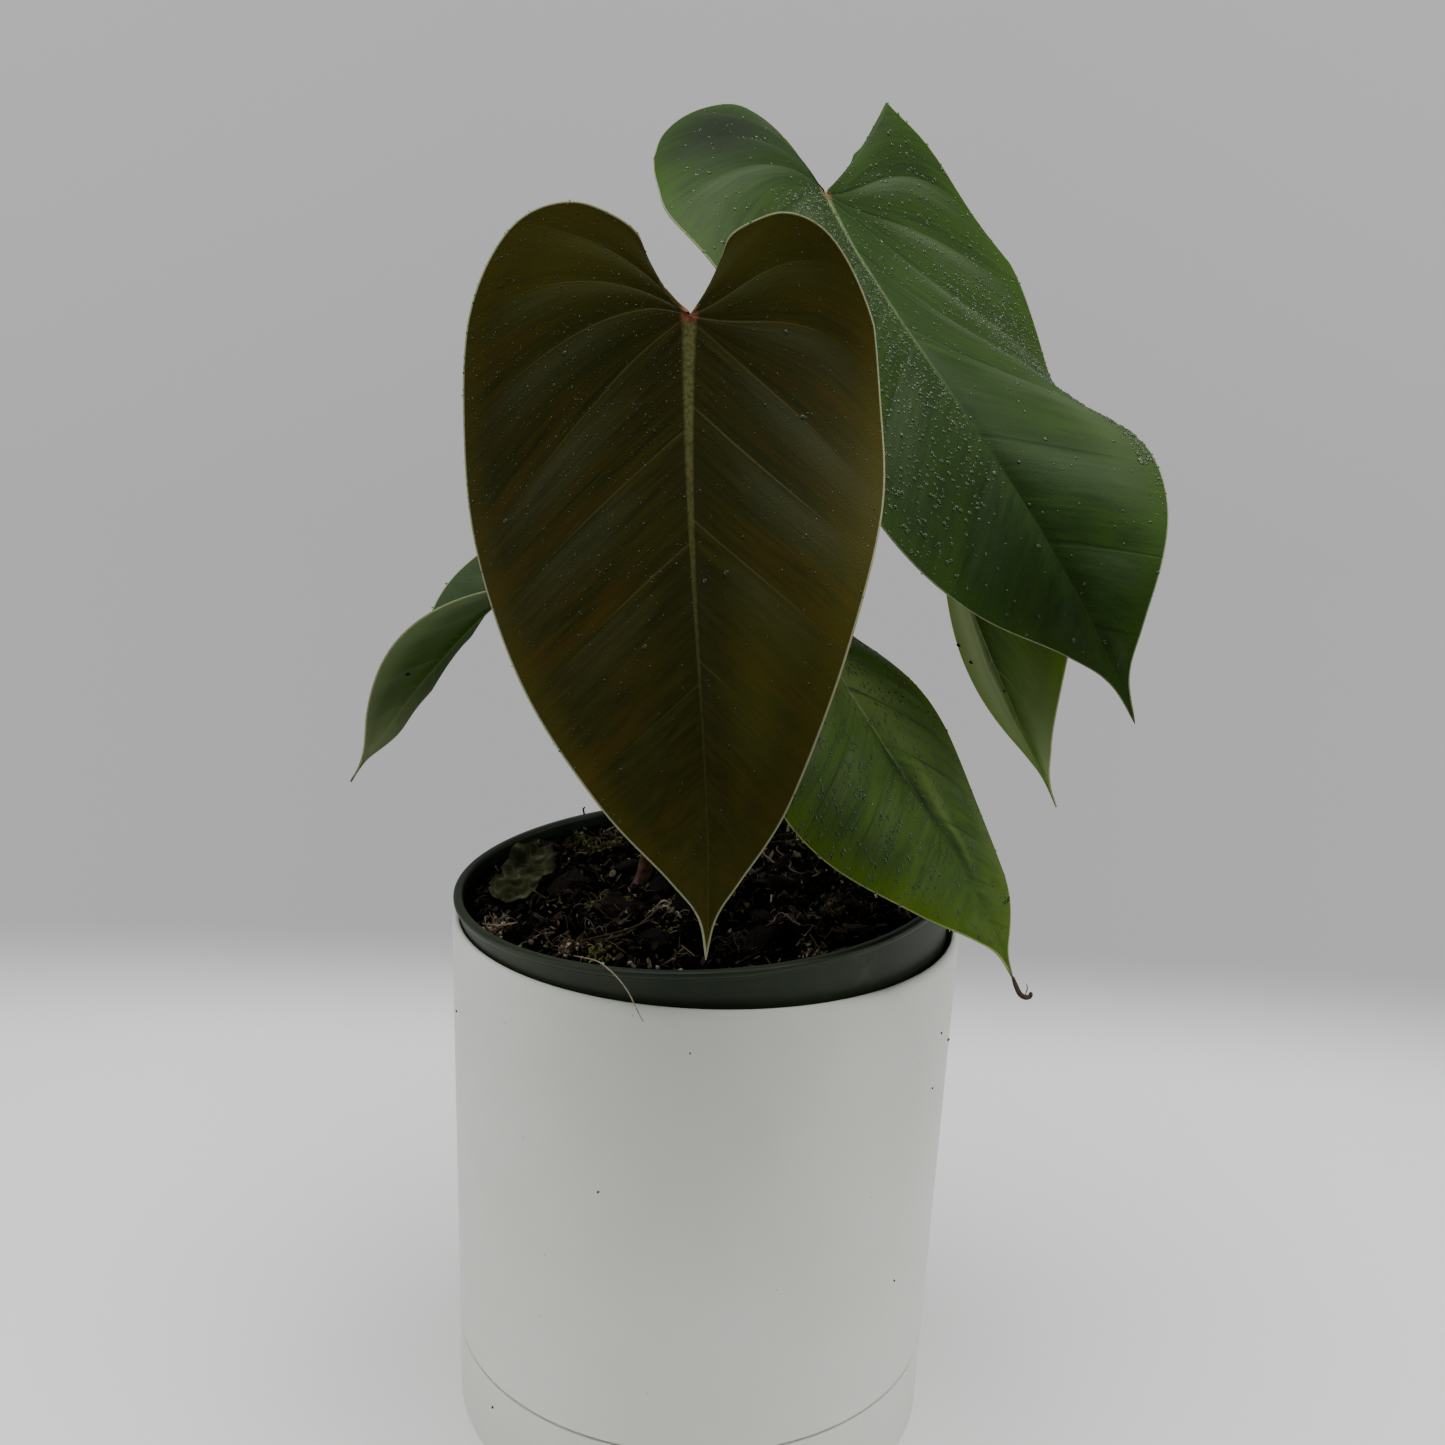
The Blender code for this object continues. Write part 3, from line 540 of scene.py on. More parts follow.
def blade_grid(leaf):
    """The blade's places, upward normals and own coordinates on its fine grid.

    Lines across stand closer together at the midrib and the margin: the reach of a column is
    a blend of its even place and half a cosine.
    """
    rows, half = leaf["grid"]
    v = np.linspace(SINUS_START, 1, rows + 1)[:, None]
    even = np.linspace(-1, 1, 2 * half + 1)[None, :]
    bowed = 0.5 - 0.5 * np.cos(math.pi * np.abs(even))
    w = np.sign(even) * (EVEN_SHARE * np.abs(even) + COSINE_SHARE * bowed)
    v, w = np.broadcast_arrays(v, w)
    place, share, distance, count, upper = blade_sheet(leaf, v, w)
    down, across = slopes(place)
    square = np.cross(down, across)
    length = np.linalg.norm(square, axis=-1, keepdims=True)
    normal = unit(square / np.maximum(length, 1) + NORMAL_HELP * upper)
    reach = np.abs(w)
    margin = (1 - reach) / steepness(reach, down, across)
    gap = 1 / steepness(count, down, across)
    return dict(v=v, w=w, place=place, normal=normal, share=share, distance=distance, count=count,
                reach=reach, margin=margin, gap=np.minimum(gap, WIDEST_GAP))


def nearest_point(grid, v, w):
    """Number of the grid's point nearest a place on the blade; a step across counts for less."""
    return np.argmin((grid["v"] - v) ** 2 + ACROSS_WEIGHT * (grid["w"] - w) ** 2)


def soft_spots(spots, v, w):
    """Paler (above 0) and darker (below 0) parts of a blade, partly its own tone and partly painted
    light and shade, such as a shaded fold and a lit ridge: each spot adds
    amount * exp(-((v - place) / spread)^2 - ((w - place) / spread)^2)."""
    total = np.zeros(v.shape)
    for place_v, place_w, spread_v, spread_w, amount in spots:
        total += amount * np.exp(-(((v - place_v) / spread_v) ** 2) - ((w - place_w) / spread_w) ** 2)
    return total


def make_blade(name, leaf, upper_surface, under_surface):
    """Two sheets joined by a rim. The under sheet bulges along the midrib and the side veins."""
    grid = blade_grid(leaf)
    rows, columns = grid["v"].shape
    widest, slimmest = leaf["midrib"]
    rib_half = slimmest + (widest - slimmest) * np.clip(1 - grid["share"], 0, 1) ** 2.6
    rib = RIB_DEPTH * np.clip(1 - grid["share"], 0, 1) * np.exp(-((grid["distance"] / (0.9 * widest)) ** 2))
    nearest = np.abs(grid["count"] - np.round(grid["count"])) * grid["gap"]
    vein_rib = VEIN_RIB_DEPTH * np.exp(-((nearest / VEIN_RIB_SPREAD) ** 2)) * (1 - grid["reach"])
    top = grid["place"] + grid["normal"] * SHEET_HALF
    bottom = grid["place"] - grid["normal"] * (SHEET_HALF + rib + vein_rib)[..., None]
    sheet = grid_faces(rows, columns)
    size = rows * columns
    row = np.arange(rows - 1)
    left = row * columns + columns - 1
    right = row * columns
    left_rim = np.stack([left, left + size, left + size + columns, left + columns], 1)[:, ::-1]
    right_rim = np.stack([right, right + columns, right + columns + size, right + size], 1)[:, ::-1]
    faces = np.vstack([sheet, sheet[:, ::-1] + size, left_rim, right_rim])
    picks = np.repeat([0, 1, 0], [len(sheet), len(sheet), 2 * len(row)])
    other_half = np.where(grid["w"] < 0, RIGHT_HALF_COUNT, 0.0)
    last_vein = len(leaf["veins"][0])
    inside = ease((grid["count"] - 0.5) * 4) * ease((last_vein + 0.5 - grid["count"]) * 2)
    notch_way = np.linalg.norm(grid["place"] - np.array(leaf["notch"]), axis=-1)
    values = dict(
        rib_ratio=grid["distance"] / rib_half, vein_count=grid["count"] + other_half, vein_gap=grid["gap"],
        vein_here=inside, reach=grid["reach"], margin_mm=grid["margin"], notch_mm=notch_way,
        share=grid["share"], shade=soft_spots(leaf["spots"], grid["v"], grid["w"]))
    doubled = {key: np.concatenate([value.ravel(), value.ravel()]) for key, value in values.items()}
    points = np.vstack([top.reshape(-1, 3), bottom.reshape(-1, 3)])
    add_piece(name + "_leaf_blade", points, faces, [upper_surface, under_surface],
              name + "_blade", doubled, picks)
    return grid


def leaf_surface(name, look):
    """Philodendron leaf skin: a waxy cuticle with a soft sheen over fine streaks that run with the
    side veins. Veins, midrib and the thin pale margin follow the blade's own coordinates. The paler
    bands just past each vein are painted sheen, and the spots are partly the leaf's own tone and
    partly painted light and shade."""
    made, tree = new_surface(name)
    object_place = add(tree, "TexCoord", output="Object")
    count, gap, reach, margin, notch, rib, here, share, shade = (
        add(tree, "Attribute", output="Fac", attribute_name=key)
        for key in ("vein_count", "vein_gap", "reach", "margin_mm", "notch_mm", "rib_ratio", "vein_here",
                    "share", "shade"))

    def math_node(operation, *values):
        return add(tree, "Math", dict(enumerate(values)), operation=operation)

    def rise(value, low, high, first=0.0, last=1.0):
        return smooth_range(tree, value, low, high, first, last)

    def tinted(share_of_tint, under, tint):
        return tint_over(tree, share_of_tint, under, tint)

    # Streaks that run with the veins, then wide soft bands and patches over them.
    far = math_node("MULTIPLY", reach, 2.4)
    flow = add(tree, "CombineXYZ", {0: math_node("MULTIPLY", count, 15.0), 1: far})
    streaks = noise(tree, flow, 1.0, 5.0, 0.65)
    wide_flow = add(tree, "CombineXYZ", {
        0: math_node("MULTIPLY", count, 4.0), 1: math_node("MULTIPLY", reach, 1.6)})
    bands = noise(tree, wide_flow, 1.0, 4.0, 0.6)
    patches = noise(tree, object_place, 30.0, 3.0, 0.5)
    skin = add(tree, "ValToRGB", {"Fac": streaks}, stops=((0.33, look["deep"]), (0.67, look["mid"])))
    skin = tinted(rise(patches, 0.40, 0.66, 0.0, look["patchiness"]), skin, look["patch"])
    past = math_node("FRACT", count)
    before_vein = math_node("MULTIPLY", rise(past, 0.25, 0.7, 0.25, 1.0), rise(reach, 0.15, 0.6, 0.2, 1.0))
    warm_share = math_node("MULTIPLY", rise(bands, 0.40, 0.62, 0.0, look["warmth"]), before_vein)
    skin = tinted(warm_share, skin, look["warm"])

    # A wide zone along the margin, and a painted sheen: a paler band on the slope just past each
    # vein, standing in for the top light that the puffed skin catches there.
    skin = tinted(rise(margin, look["edge_mm"], 1.0, 0.0, look["edginess"]), skin, look["edge"])
    painted_sheen = math_node("MULTIPLY", rise(past, 0.0, 0.10), rise(past, 0.15, 0.65, 1.0, 0.0))
    painted_sheen = math_node("MULTIPLY", painted_sheen, rise(reach, 0.15, 0.5))
    painted_sheen = math_node("MULTIPLY", painted_sheen, rise(reach, 0.65, 0.97, 1.0, 0.0))
    painted_sheen = math_node("MULTIPLY", painted_sheen, rise(share, 0.25, 0.7, 1.0, look["painted_sheen_end"]))
    combed = rise(streaks, 0.3, 0.7, 0.55 * look["painted_sheen_strength"], look["painted_sheen_strength"])
    skin = tinted(math_node("MULTIPLY", painted_sheen, combed), skin, look["painted_sheen"])

    # Pale and dark spots: partly the leaf's own tone, partly painted light and shade.
    skin = tinted(math_node("MAXIMUM", shade, 0.0), skin, look["pale"])
    skin = tinted(math_node("MAXIMUM", math_node("MULTIPLY", shade, -1.0), 0.0), skin, look["dark"])

    # Side veins: distance in mm from the nearest whole vein count, narrower towards the margin.
    off = math_node("SUBTRACT", count, math_node("ROUND", count))
    off = math_node("MULTIPLY", math_node("ABSOLUTE", off), gap)
    slim = add(tree, "MapRange", {0: reach, 1: 0.0, 2: 1.0, 3: look["vein_mm"], 4: look["vein_mm"] * 0.35})
    vein = rise(math_node("DIVIDE", off, slim), 0.2, 1.0, 1.0, 0.0)
    vein = math_node("MULTIPLY", vein, here)
    broken = rise(patches, 0.35, 0.6, 0.45, 1.0)
    vein_tint = math_node("MULTIPLY", vein, rise(reach, 0.45, 0.92, look["veininess"], 0.0))
    vein_tint = math_node("MULTIPLY", vein_tint, rise(share, 0.25, 0.75, 1.0, look["vein_end"]))
    by_half = rise(count, HALF_SPLIT, HALF_SPLIT + 1, 1.0, look["right_half"])
    vein_tint = math_node("MULTIPLY", vein_tint, by_half)
    skin = tinted(math_node("MULTIPLY", vein_tint, broken), skin, look["vein"])

    # Midrib, the pale line of the margin, and the blush where the stalk joins.
    flecks = noise(tree, object_place, 900.0, 2.0, 0.5)
    band = math_node("MULTIPLY", rise(rib, 0.45, 1.25, 1.0, 0.0), rise(flecks, 0.38, 0.60, 0.55, 1.0))
    band_fade = add(tree, "MapRange", {
        0: share, 1: 0.08, 2: look["midrib_run"], 3: look["ribbiness"], 4: look["midrib_end"]})
    skin = tinted(math_node("MULTIPLY", band, band_fade), skin, look["midrib"])
    skin = tinted(rise(margin, look["line_mm"] * 0.4, look["line_mm"], 1.0, 0.0), skin, look["line"])
    skin = tinted(rise(notch, 1.0, look["blush_mm"], 0.9, 0.0), skin, look["blush"])
    skin = tinted(rise(share, 0.965, 0.995, 0.0, look["dryness"]), skin, "#4a3b26")

    # Relief too fine for the mesh: sunk veins, streaks, and cells about 0.6 mm across.
    cells = noise(tree, object_place, 1600.0, 2.0, 0.5)
    height = math_node("MULTIPLY_ADD", streaks, look["grain"], cells)
    height = math_node("MULTIPLY_ADD", vein, look["vein_relief"], height)
    bumped = relief(tree, height, 0.35, 0.0002)
    dull = add(tree, "MapRange", {
        0: streaks, 1: 0.3, 2: 0.7, 3: look["rough"] - 0.05, 4: look["rough"] + 0.07})
    return finished(made, {
        "Base Color": skin, "Roughness": dull, "IOR": 1.45, "Specular IOR Level": look["gloss"],
        "Normal": bumped})


# Upper and under colours of each leaf, darker than in daylight, as in a dim and even studio light.
UPPER_LOOK = dict(
    deep="#1b2b0f", mid="#2a3f16", warm="#334e12", warmth=0.4, patch="#20330f", patchiness=0.5,
    edge="#354f12", edge_mm=10.0, edginess=0.4, painted_sheen="#4b573e", painted_sheen_strength=0.6, painted_sheen_end=0.35,
    pale="#5c6a48", dark="#141f0b", vein="#15230d", vein_mm=1.2, veininess=0.5, vein_end=0.7,
    right_half=1.0, midrib="#707e54", midrib_run=0.5, ribbiness=0.8, midrib_end=0.06, line="#87926a",
    line_mm=0.45, blush="#7a5a3c", blush_mm=4.0, dryness=0.0, grain=0.8, vein_relief=-1.6, rough=0.52,
    gloss=0.09)
UNDER_LOOK = dict(
    UPPER_LOOK, deep="#24390a", mid="#33500c", warm="#3f6014", painted_sheen="#5a6c44", painted_sheen_strength=0.0,
    pale="#7c8a5c", dark="#1c2c08", vein="#5f7244", veininess=0.4, vein_mm=0.8, vein_end=1.0,
    midrib="#72824e", midrib_run=0.9, midrib_end=0.5, vein_relief=1.6, rough=0.6, gloss=0.05)
LOOKS = {
    "front": (
        dict(UPPER_LOOK, deep="#1b1c06", mid="#2d2c08", warm="#3e2d08", warmth=0.45, patch="#1d2209",
             patchiness=0.55, edge="#3d3809", edge_mm=9.0, edginess=0.45, painted_sheen="#363a26", painted_sheen_strength=0.5,
             painted_sheen_end=0.12, pale="#4a4a14", dark="#141405", vein="#4c4d2a", vein_mm=0.5, veininess=0.55,
             vein_end=0.1, midrib="#595a33", midrib_run=0.62, ribbiness=1.0, midrib_end=0.18, line="#8e9070",
             line_mm=0.6, blush="#7e4636", blush_mm=3.0, vein_relief=-0.7, rough=0.52, gloss=0.06),
        dict(UNDER_LOOK, deep="#33260f", mid="#46341a", warm="#523c18", patch="#3a3018", edge="#544418",
             vein="#746a44", midrib="#80764c", line="#96977a")),
    "upper": (dict(UPPER_LOOK, deep="#203114", mid="#2f461b", veininess=0.65, right_half=0.35, dryness=0.8),
              dict(UNDER_LOOK)),
    "left": (dict(UPPER_LOOK, deep="#202c1a", mid="#2c3a24", warm="#2c3a24", painted_sheen="#465440",
                  painted_sheen_strength=0.6, edge="#35452c", patch="#283620", dark="#1c2616", rough=0.6, gloss=0.03,
                  dryness=0.7),
             dict(UNDER_LOOK, deep="#2b430b", mid="#3c5a0e", edge="#56682e", edge_mm=5.0, line="#8a9a6c",
                  line_mm=0.7, dryness=0.7)),
    "lower": (
        dict(UPPER_LOOK, deep="#283b12", mid="#3a5218", warm="#435c10", warmth=0.5, edge="#43590a",
             edge_mm=12.0, edginess=0.6, painted_sheen="#4f6038", painted_sheen_strength=0.6, pale="#5a6c34", veininess=0.6,
             right_half=0.15, rough=0.48, dryness=0.9, line="#7f8f52"),
        dict(UNDER_LOOK)),
    "back": (dict(UPPER_LOOK),
             dict(UNDER_LOOK, deep="#33480a", mid="#48620c", edge="#5c7618", edginess=0.6, dryness=0.8)),
}


# Water drops

def make_drops(name, grid, count, density, radii, surface, seed, stretch=1.0, big=()):
    """Lens-shaped drops strewn over a blade's upper side.

    Cells of the blade's grid are drawn with a chance of their area times the density there. A
    drop is rings of points round its centre, drawn in to its apex as a low dome, and closed
    below by a point under the skin. stretch lengthens it along the blade's slope.
    """
    rng = np.random.default_rng(seed)
    place, normal = grid["place"], grid["normal"]
    down, across = slopes(place)
    area = np.linalg.norm(np.cross(down, across), axis=-1)
    chance = (area * density(grid["v"], grid["w"])).ravel()
    picked = rng.choice(len(chance), count, p=chance / chance.sum())
    size = radii[0] + (radii[1] - radii[0]) * rng.uniform(0, 1, count) ** 2.5
    for v, w, radius in big:
        picked, size = np.append(picked, nearest_point(grid, v, w)), np.append(size, radius)
    centre = place.reshape(-1, 3)[picked] + normal.reshape(-1, 3)[picked] * SHEET_HALF
    up = normal.reshape(-1, 3)[picked]
    for step in (across, down):
        centre = centre + step.reshape(-1, 3)[picked] * rng.uniform(-0.5, 0.5, (len(picked), 1))
    slope = unit(np.array([0, 0, -1.0]) + up * up[:, 2:3])
    aside = np.cross(up, slope)
    long_way = 1 + (stretch - 1) * rng.uniform(0.3, 1, len(picked))
    tilt = rng.normal(0, 0.35, len(picked))
    first = np.cos(tilt)[:, None] * slope + np.sin(tilt)[:, None] * aside
    second = np.cross(up, first)
    around = np.arange(DROP_SIDES) * TURN / DROP_SIDES
    parts = []
    for spread, rise in DROP_RINGS:
        ring = (np.cos(around)[None, :, None] * (first * long_way[:, None])[:, None, :]
                + np.sin(around)[None, :, None] * second[:, None, :]) * spread
        parts.append(centre[:, None, :] + size[:, None, None] * (ring + rise * up[:, None, :]))
    apex = centre + up * size[:, None] * DROP_APEX
    base = centre - up * size[:, None] * DROP_BASE
    points = np.concatenate([*parts, apex[:, None], base[:, None]], 1)
    near = np.arange(DROP_SIDES)
    far = (near + 1) % DROP_SIDES
    band = np.stack([near, far, far + DROP_SIDES, near + DROP_SIDES], 1)
    bands = [band + DROP_SIDES * k for k in range(len(DROP_RINGS) - 1)]
    last = DROP_SIDES * len(DROP_RINGS)
    tops = np.stack([near + last - DROP_SIDES, far + last - DROP_SIDES, near * 0 + last], 1)
    floors = np.stack([far, near, near * 0 + last + 1], 1)
    leap = (last + 2) * np.arange(len(picked))[:, None, None]
    faces = (np.vstack(bands)[None] + leap).reshape(-1, 4).tolist()
    faces += (np.vstack([tops, floors])[None] + leap).reshape(-1, 3).tolist()
    add_drops(name, points.reshape(-1, 3), faces, surface)


def add_drops(name, points, faces, surface):
    """Drops as one mesh of triangles and quads that rides with the plant."""
    mesh = bpy.data.meshes.new(name)
    mesh.from_pydata((points * MM).tolist(), [], faces)
    mesh.materials.append(surface)
    mesh.shade_smooth()
    piece = new_object(name, mesh)
    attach(piece, BODY)


def water_surface(name, painted_light_share):
    """Sprayed water: bends light by its own index, with a little diffuse green in it, painted light
    that lifts each drop off the skin under it as the light the drops catch would."""
    made, _ = new_surface(name)
    return finished(made, {
        "Base Color": (0.36, 0.48, 0.24, 1.0), "Roughness": 0.25, "IOR": 1.333,
        "Specular IOR Level": 0.1, "Transmission Weight": 1.0 - painted_light_share})


# Stalks and stem

def stalk_route(leaf):
    """Points of a leaf's stalk: from the stem up behind the blade, then square onto its underside."""
    share = np.array([PETIOLE_SEAT_AHEAD / leaf["length"]])
    seat, ahead, _, upper = (row[0] for row in midrib(leaf, share))
    end = seat - upper * SHEET_HALF
    neck = seat - upper * (CAD_HALF + PETIOLE_NECK)
    bend = neck - upper * 2 * PETIOLE_NECK - ahead * 0.5
    climb = smooth_curve([*leaf["petiole"], bend, neck], STALK_KNOTS)
    return np.vstack([climb, smooth_curve([neck, end], SEAT_KNOTS)[1:]])


def stalk_radii(count):
    """Swollen at the sheath round the stem, then easing thinner, with a slight knuckle under the blade."""
    share = np.linspace(0, 1, count)
    slim = PETIOLE_FOOT_RADIUS + (PETIOLE_TOP_RADIUS - PETIOLE_FOOT_RADIUS) * share**0.7
    sheath = PETIOLE_SHEATH * np.exp(-((share / SHEATH_SPREAD) ** 2))
    knuckle = KNUCKLE * np.exp(-(((share - KNUCKLE_PLACE) / KNUCKLE_SPREAD) ** 2))
    return slim + sheath + knuckle


def stem_radii(count):
    """Nearly even, with a swelling at each joint and blunt ends."""
    share = np.linspace(0, 1, count)
    joints = STEM_SWELL * np.cos(TURN * STEM_JOINTS * share) ** 2
    blunt = np.clip(np.sqrt(1 - np.clip(np.abs(2 * share - 1), 0, 0.995) ** 6), 0.35, 1)
    return (STEM_RADIUS - STEM_WAIST + joints) * blunt


def swept(route, radii, sides):
    """A round section carried along a route, closed by a point at each end.

    At each point the section stands square to the way on, with its sides found from one
    fixed direction. Returns points, faces, and each point's share of the way and angle.
    """
    route = np.asarray(route, float)
    ahead = unit(np.gradient(route, axis=0))
    first = unit(np.cross(ahead, np.array(SECTION_GUIDE)))
    second = np.cross(ahead, first)
    angle = np.arange(sides) * TURN / sides
    share = np.linspace(0, 1, len(route))
    ring = (np.cos(angle)[None, :, None] * first[:, None, :]
            + np.sin(angle)[None, :, None] * second[:, None, :])
    body = route[:, None, :] + ring * radii[:, None, None]
    foot, top = (np.repeat(end[:, None], sides, 1) for end in (route[:1], route[-1:]))
    points = np.concatenate([foot, body, top])
    way = np.concatenate([[0.0], share, [1.0]])
    faces = grid_faces(len(route) + 2, sides, closed=True)[:, ::-1]
    return points.reshape(-1, 3), faces, np.repeat(way, sides), np.tile(angle, len(route) + 2)


def stalk_surface():
    """Waxy young stalk: dull red at the foot, olive above, finely ribbed along its length."""
    made, tree = new_surface("stalk_skin")
    place = add(tree, "TexCoord", output="Object")
    way = add(tree, "Attribute", output="Fac", attribute_name="way")
    angle = add(tree, "Attribute", output="Fac", attribute_name="angle")
    lengthwise = add(tree, "CombineXYZ", {0: add(tree, "Math", {0: way, 1: 14.0}, operation="MULTIPLY"),
                                          1: add(tree, "Math", {0: angle, 1: 3.0}, operation="MULTIPLY")})
    ribs = noise(tree, lengthwise, 1.6, 4.0, 0.6)
    mottle = noise(tree, place, 420.0, 3.0, 0.6)
    foot_to_top = add(tree, "ValToRGB", {"Fac": way}, stops=(
        (0.0, "#2c0e10"), (0.08, "#421618"), (0.25, "#48281e"), (0.75, "#4e4a28"), (1.0, "#7a5a40")))
    mottled = add(tree, "MapRange", {0: mottle, 1: 0.45, 2: 0.7, 3: 0.0, 4: 0.55})
    skin = tint_over(tree, mottled, foot_to_top, "#6e6a3c")
    bumped = relief(tree, ribs, 0.4, 0.0003)
    return finished(made, {"Base Color": skin, "Roughness": 0.45, "IOR": 1.45, "Normal": bumped})


def stem_surface():
    """Older stem skin: olive and corky brown, with ring scars at its joints."""
    made, tree = new_surface("stem_bark")
    place = add(tree, "TexCoord", output="Object")
    way = add(tree, "Attribute", output="Fac", attribute_name="way")
    cork = noise(tree, place, 260.0, 5.0, 0.65)
    skin = add(tree, "ValToRGB", {"Fac": cork}, stops=(
        (0.30, "#2a2716"), (0.50, "#474a26"), (0.72, "#6a6440")))
    ringed = add(tree, "Math", {0: way, 1: TURN * STEM_JOINTS * 2}, operation="MULTIPLY")
    ringed = add(tree, "Math", {0: ringed}, operation="COSINE")
    scar = smooth_range(tree, ringed, 0.90, 1.0, 0.0, 0.8)
    skin = tint_over(tree, scar, skin, "#7c7150")
    bumped = relief(tree, cork, 0.6, 0.0005)
    return finished(made, {"Base Color": skin, "Roughness": 0.7, "IOR": 1.45, "Normal": bumped})


# Turned pots

def round_z(radius, angle, height):
    """Points at a radius from Z, an angle round it and a height."""
    return np.stack([radius * np.cos(angle), radius * np.sin(angle), height + 0 * angle], -1)


def eased(profile, cut, closed):
    """A profile with its corners rounded: each is cut back by up to cut mm and bridged by a
    parabola, with one more point on each side to hold the flats flat."""
    corners = np.asarray(profile, float)
    count = len(corners)
    made = []
    for index in range(count):
        here = corners[index]
        if not closed and index in (0, count - 1):
            made.append(here[None])
            continue
        before, after = corners[index - 1], corners[(index + 1) % count]
        back, on = before - here, after - here
        reach_back = min(cut, CORNER_SHARE * np.linalg.norm(back))
        reach_on = min(cut, CORNER_SHARE * np.linalg.norm(on))
        start = here + unit(back) * reach_back
        end = here + unit(on) * reach_on
        t = np.linspace(0, 1, CORNER_POINTS)[:, None]
        arc = start * (1 - t) ** 2 + 2 * here * t * (1 - t) + end * t**2
        before_arc = start + unit(back) * CORNER_HOLD * reach_back
        after_arc = end + unit(on) * CORNER_HOLD * reach_on
        made += [before_arc[None], arc, after_arc[None]]
    return np.vstack(made)


def make_turned(name, profile, node, surface, closed=True, cut=0.8, place=None):
    """A profile of radius and height turned once round Z, outer side running down."""
    outline = eased(profile, cut, closed)
    if closed:
        outline = np.vstack([outline, outline[:1]])
    angle = np.arange(TURNED_STEPS) * TURN / TURNED_STEPS
    radius, height = outline[:, 0:1], outline[:, 1:2]
    points = round_z(radius, angle, height).reshape(-1, 3)
    if place:
        points = place(points)
    faces = grid_faces(len(outline), TURNED_STEPS, closed=True)
    add_piece(name, points, faces, [surface], node)


def outer_radius(height):
    """The shared outside of the ceramic pot and saucer, which flares a little upwards."""
    return FOOT_RADIUS + FLARE_PER_MM * height


def grower_inside(height):
    """Inner radius of the grower's pot at a height below its rim."""
    if height > -COLLAR_HEIGHT + COLLAR_STEP:
        return COLLAR_RADIUS - GROWER_WALL
    share = (-COLLAR_HEIGHT - height) / (GROWER_HEIGHT - COLLAR_HEIGHT)
    return NECK_RADIUS - GROWER_WALL + (GROWER_FOOT_RADIUS - NECK_RADIUS) * min(max(share, 0), 1)


def lean(points):
    """From the grower's pot's own frame to the row frame: tipped by the rises of its rim, then
    moved to the rim's centre."""
    about_x, about_y = math.atan(GROWER_RISE_BACK), -math.atan(GROWER_RISE_RIGHT)
    tip_back = np.array([[1, 0, 0], [0, math.cos(about_x), -math.sin(about_x)],
                         [0, math.sin(about_x), math.cos(about_x)]])
    tip_right = np.array([[math.cos(about_y), 0, math.sin(about_y)], [0, 1, 0],
                          [-math.sin(about_y), 0, math.cos(about_y)]])
    return np.asarray(points) @ (tip_right @ tip_back).T + np.array(GROWER_RIM_CENTRE)


def ceramic_surface():
    """Matte white stoneware with a dry glaze: faint clouding, pin-prick specks and a soft, slightly
    uneven skin that breaks up the highlight."""
    made, tree = new_surface("matte_white_stoneware")
    place = add(tree, "TexCoord", output="Object")
    clouds = noise(tree, place, 22.0, 3.0, 0.5)
    body = add(tree, "ValToRGB", {"Fac": clouds}, stops=((0.30, "#d8dad1"), (0.70, "#dfe0d9")))
    cells = add(tree, "TexVoronoi", {"Vector": place, "Scale": 95.0, "Randomness": 1.0})
    speck = smooth_range(tree, cells, 0.022, 0.045, 0.55, 0.0)
    body = tint_over(tree, speck, body, "#8f8f88")
    orange_peel = noise(tree, place, 900.0, 3.0, 0.6)
    bumped = relief(tree, orange_peel, 0.18, 0.0002)
    return finished(made, {"Base Color": body, "Roughness": 0.6, "IOR": 1.5, "Normal": bumped})


def plastic_surface():
    """Injection-moulded polypropylene, dark green and satin, dusty and scuffed round the collar."""
    made, tree = new_surface("green_moulded_polypropylene")
    place = add(tree, "TexCoord", output="Object")
    dust = noise(tree, place, 55.0, 5.0, 0.6)
    body = add(tree, "ValToRGB", {"Fac": dust}, stops=(
        (0.30, "#1b2516"), (0.62, "#25301c"), (0.80, "#3b452f")))
    flat = add(tree, "Mapping", {"Vector": place, "Scale": (1.0, 1.0, 14.0)})
    scuffs = noise(tree, flat, 160.0, 4.0, 0.7)
    scuffed = add(tree, "MapRange", {0: scuffs, 1: 0.62, 2: 0.78, 3: 0.0, 4: 0.5})
    body = tint_over(tree, scuffed, body, "#49523c")
    moulding = noise(tree, place, 1400.0, 2.0, 0.5)
    bumped = relief(tree, moulding, 0.15, 0.0002)
    return finished(made, {
        "Base Color": body, "Roughness": 0.45, "IOR": 1.49, "Specular IOR Level": 0.28, "Normal": bumped})


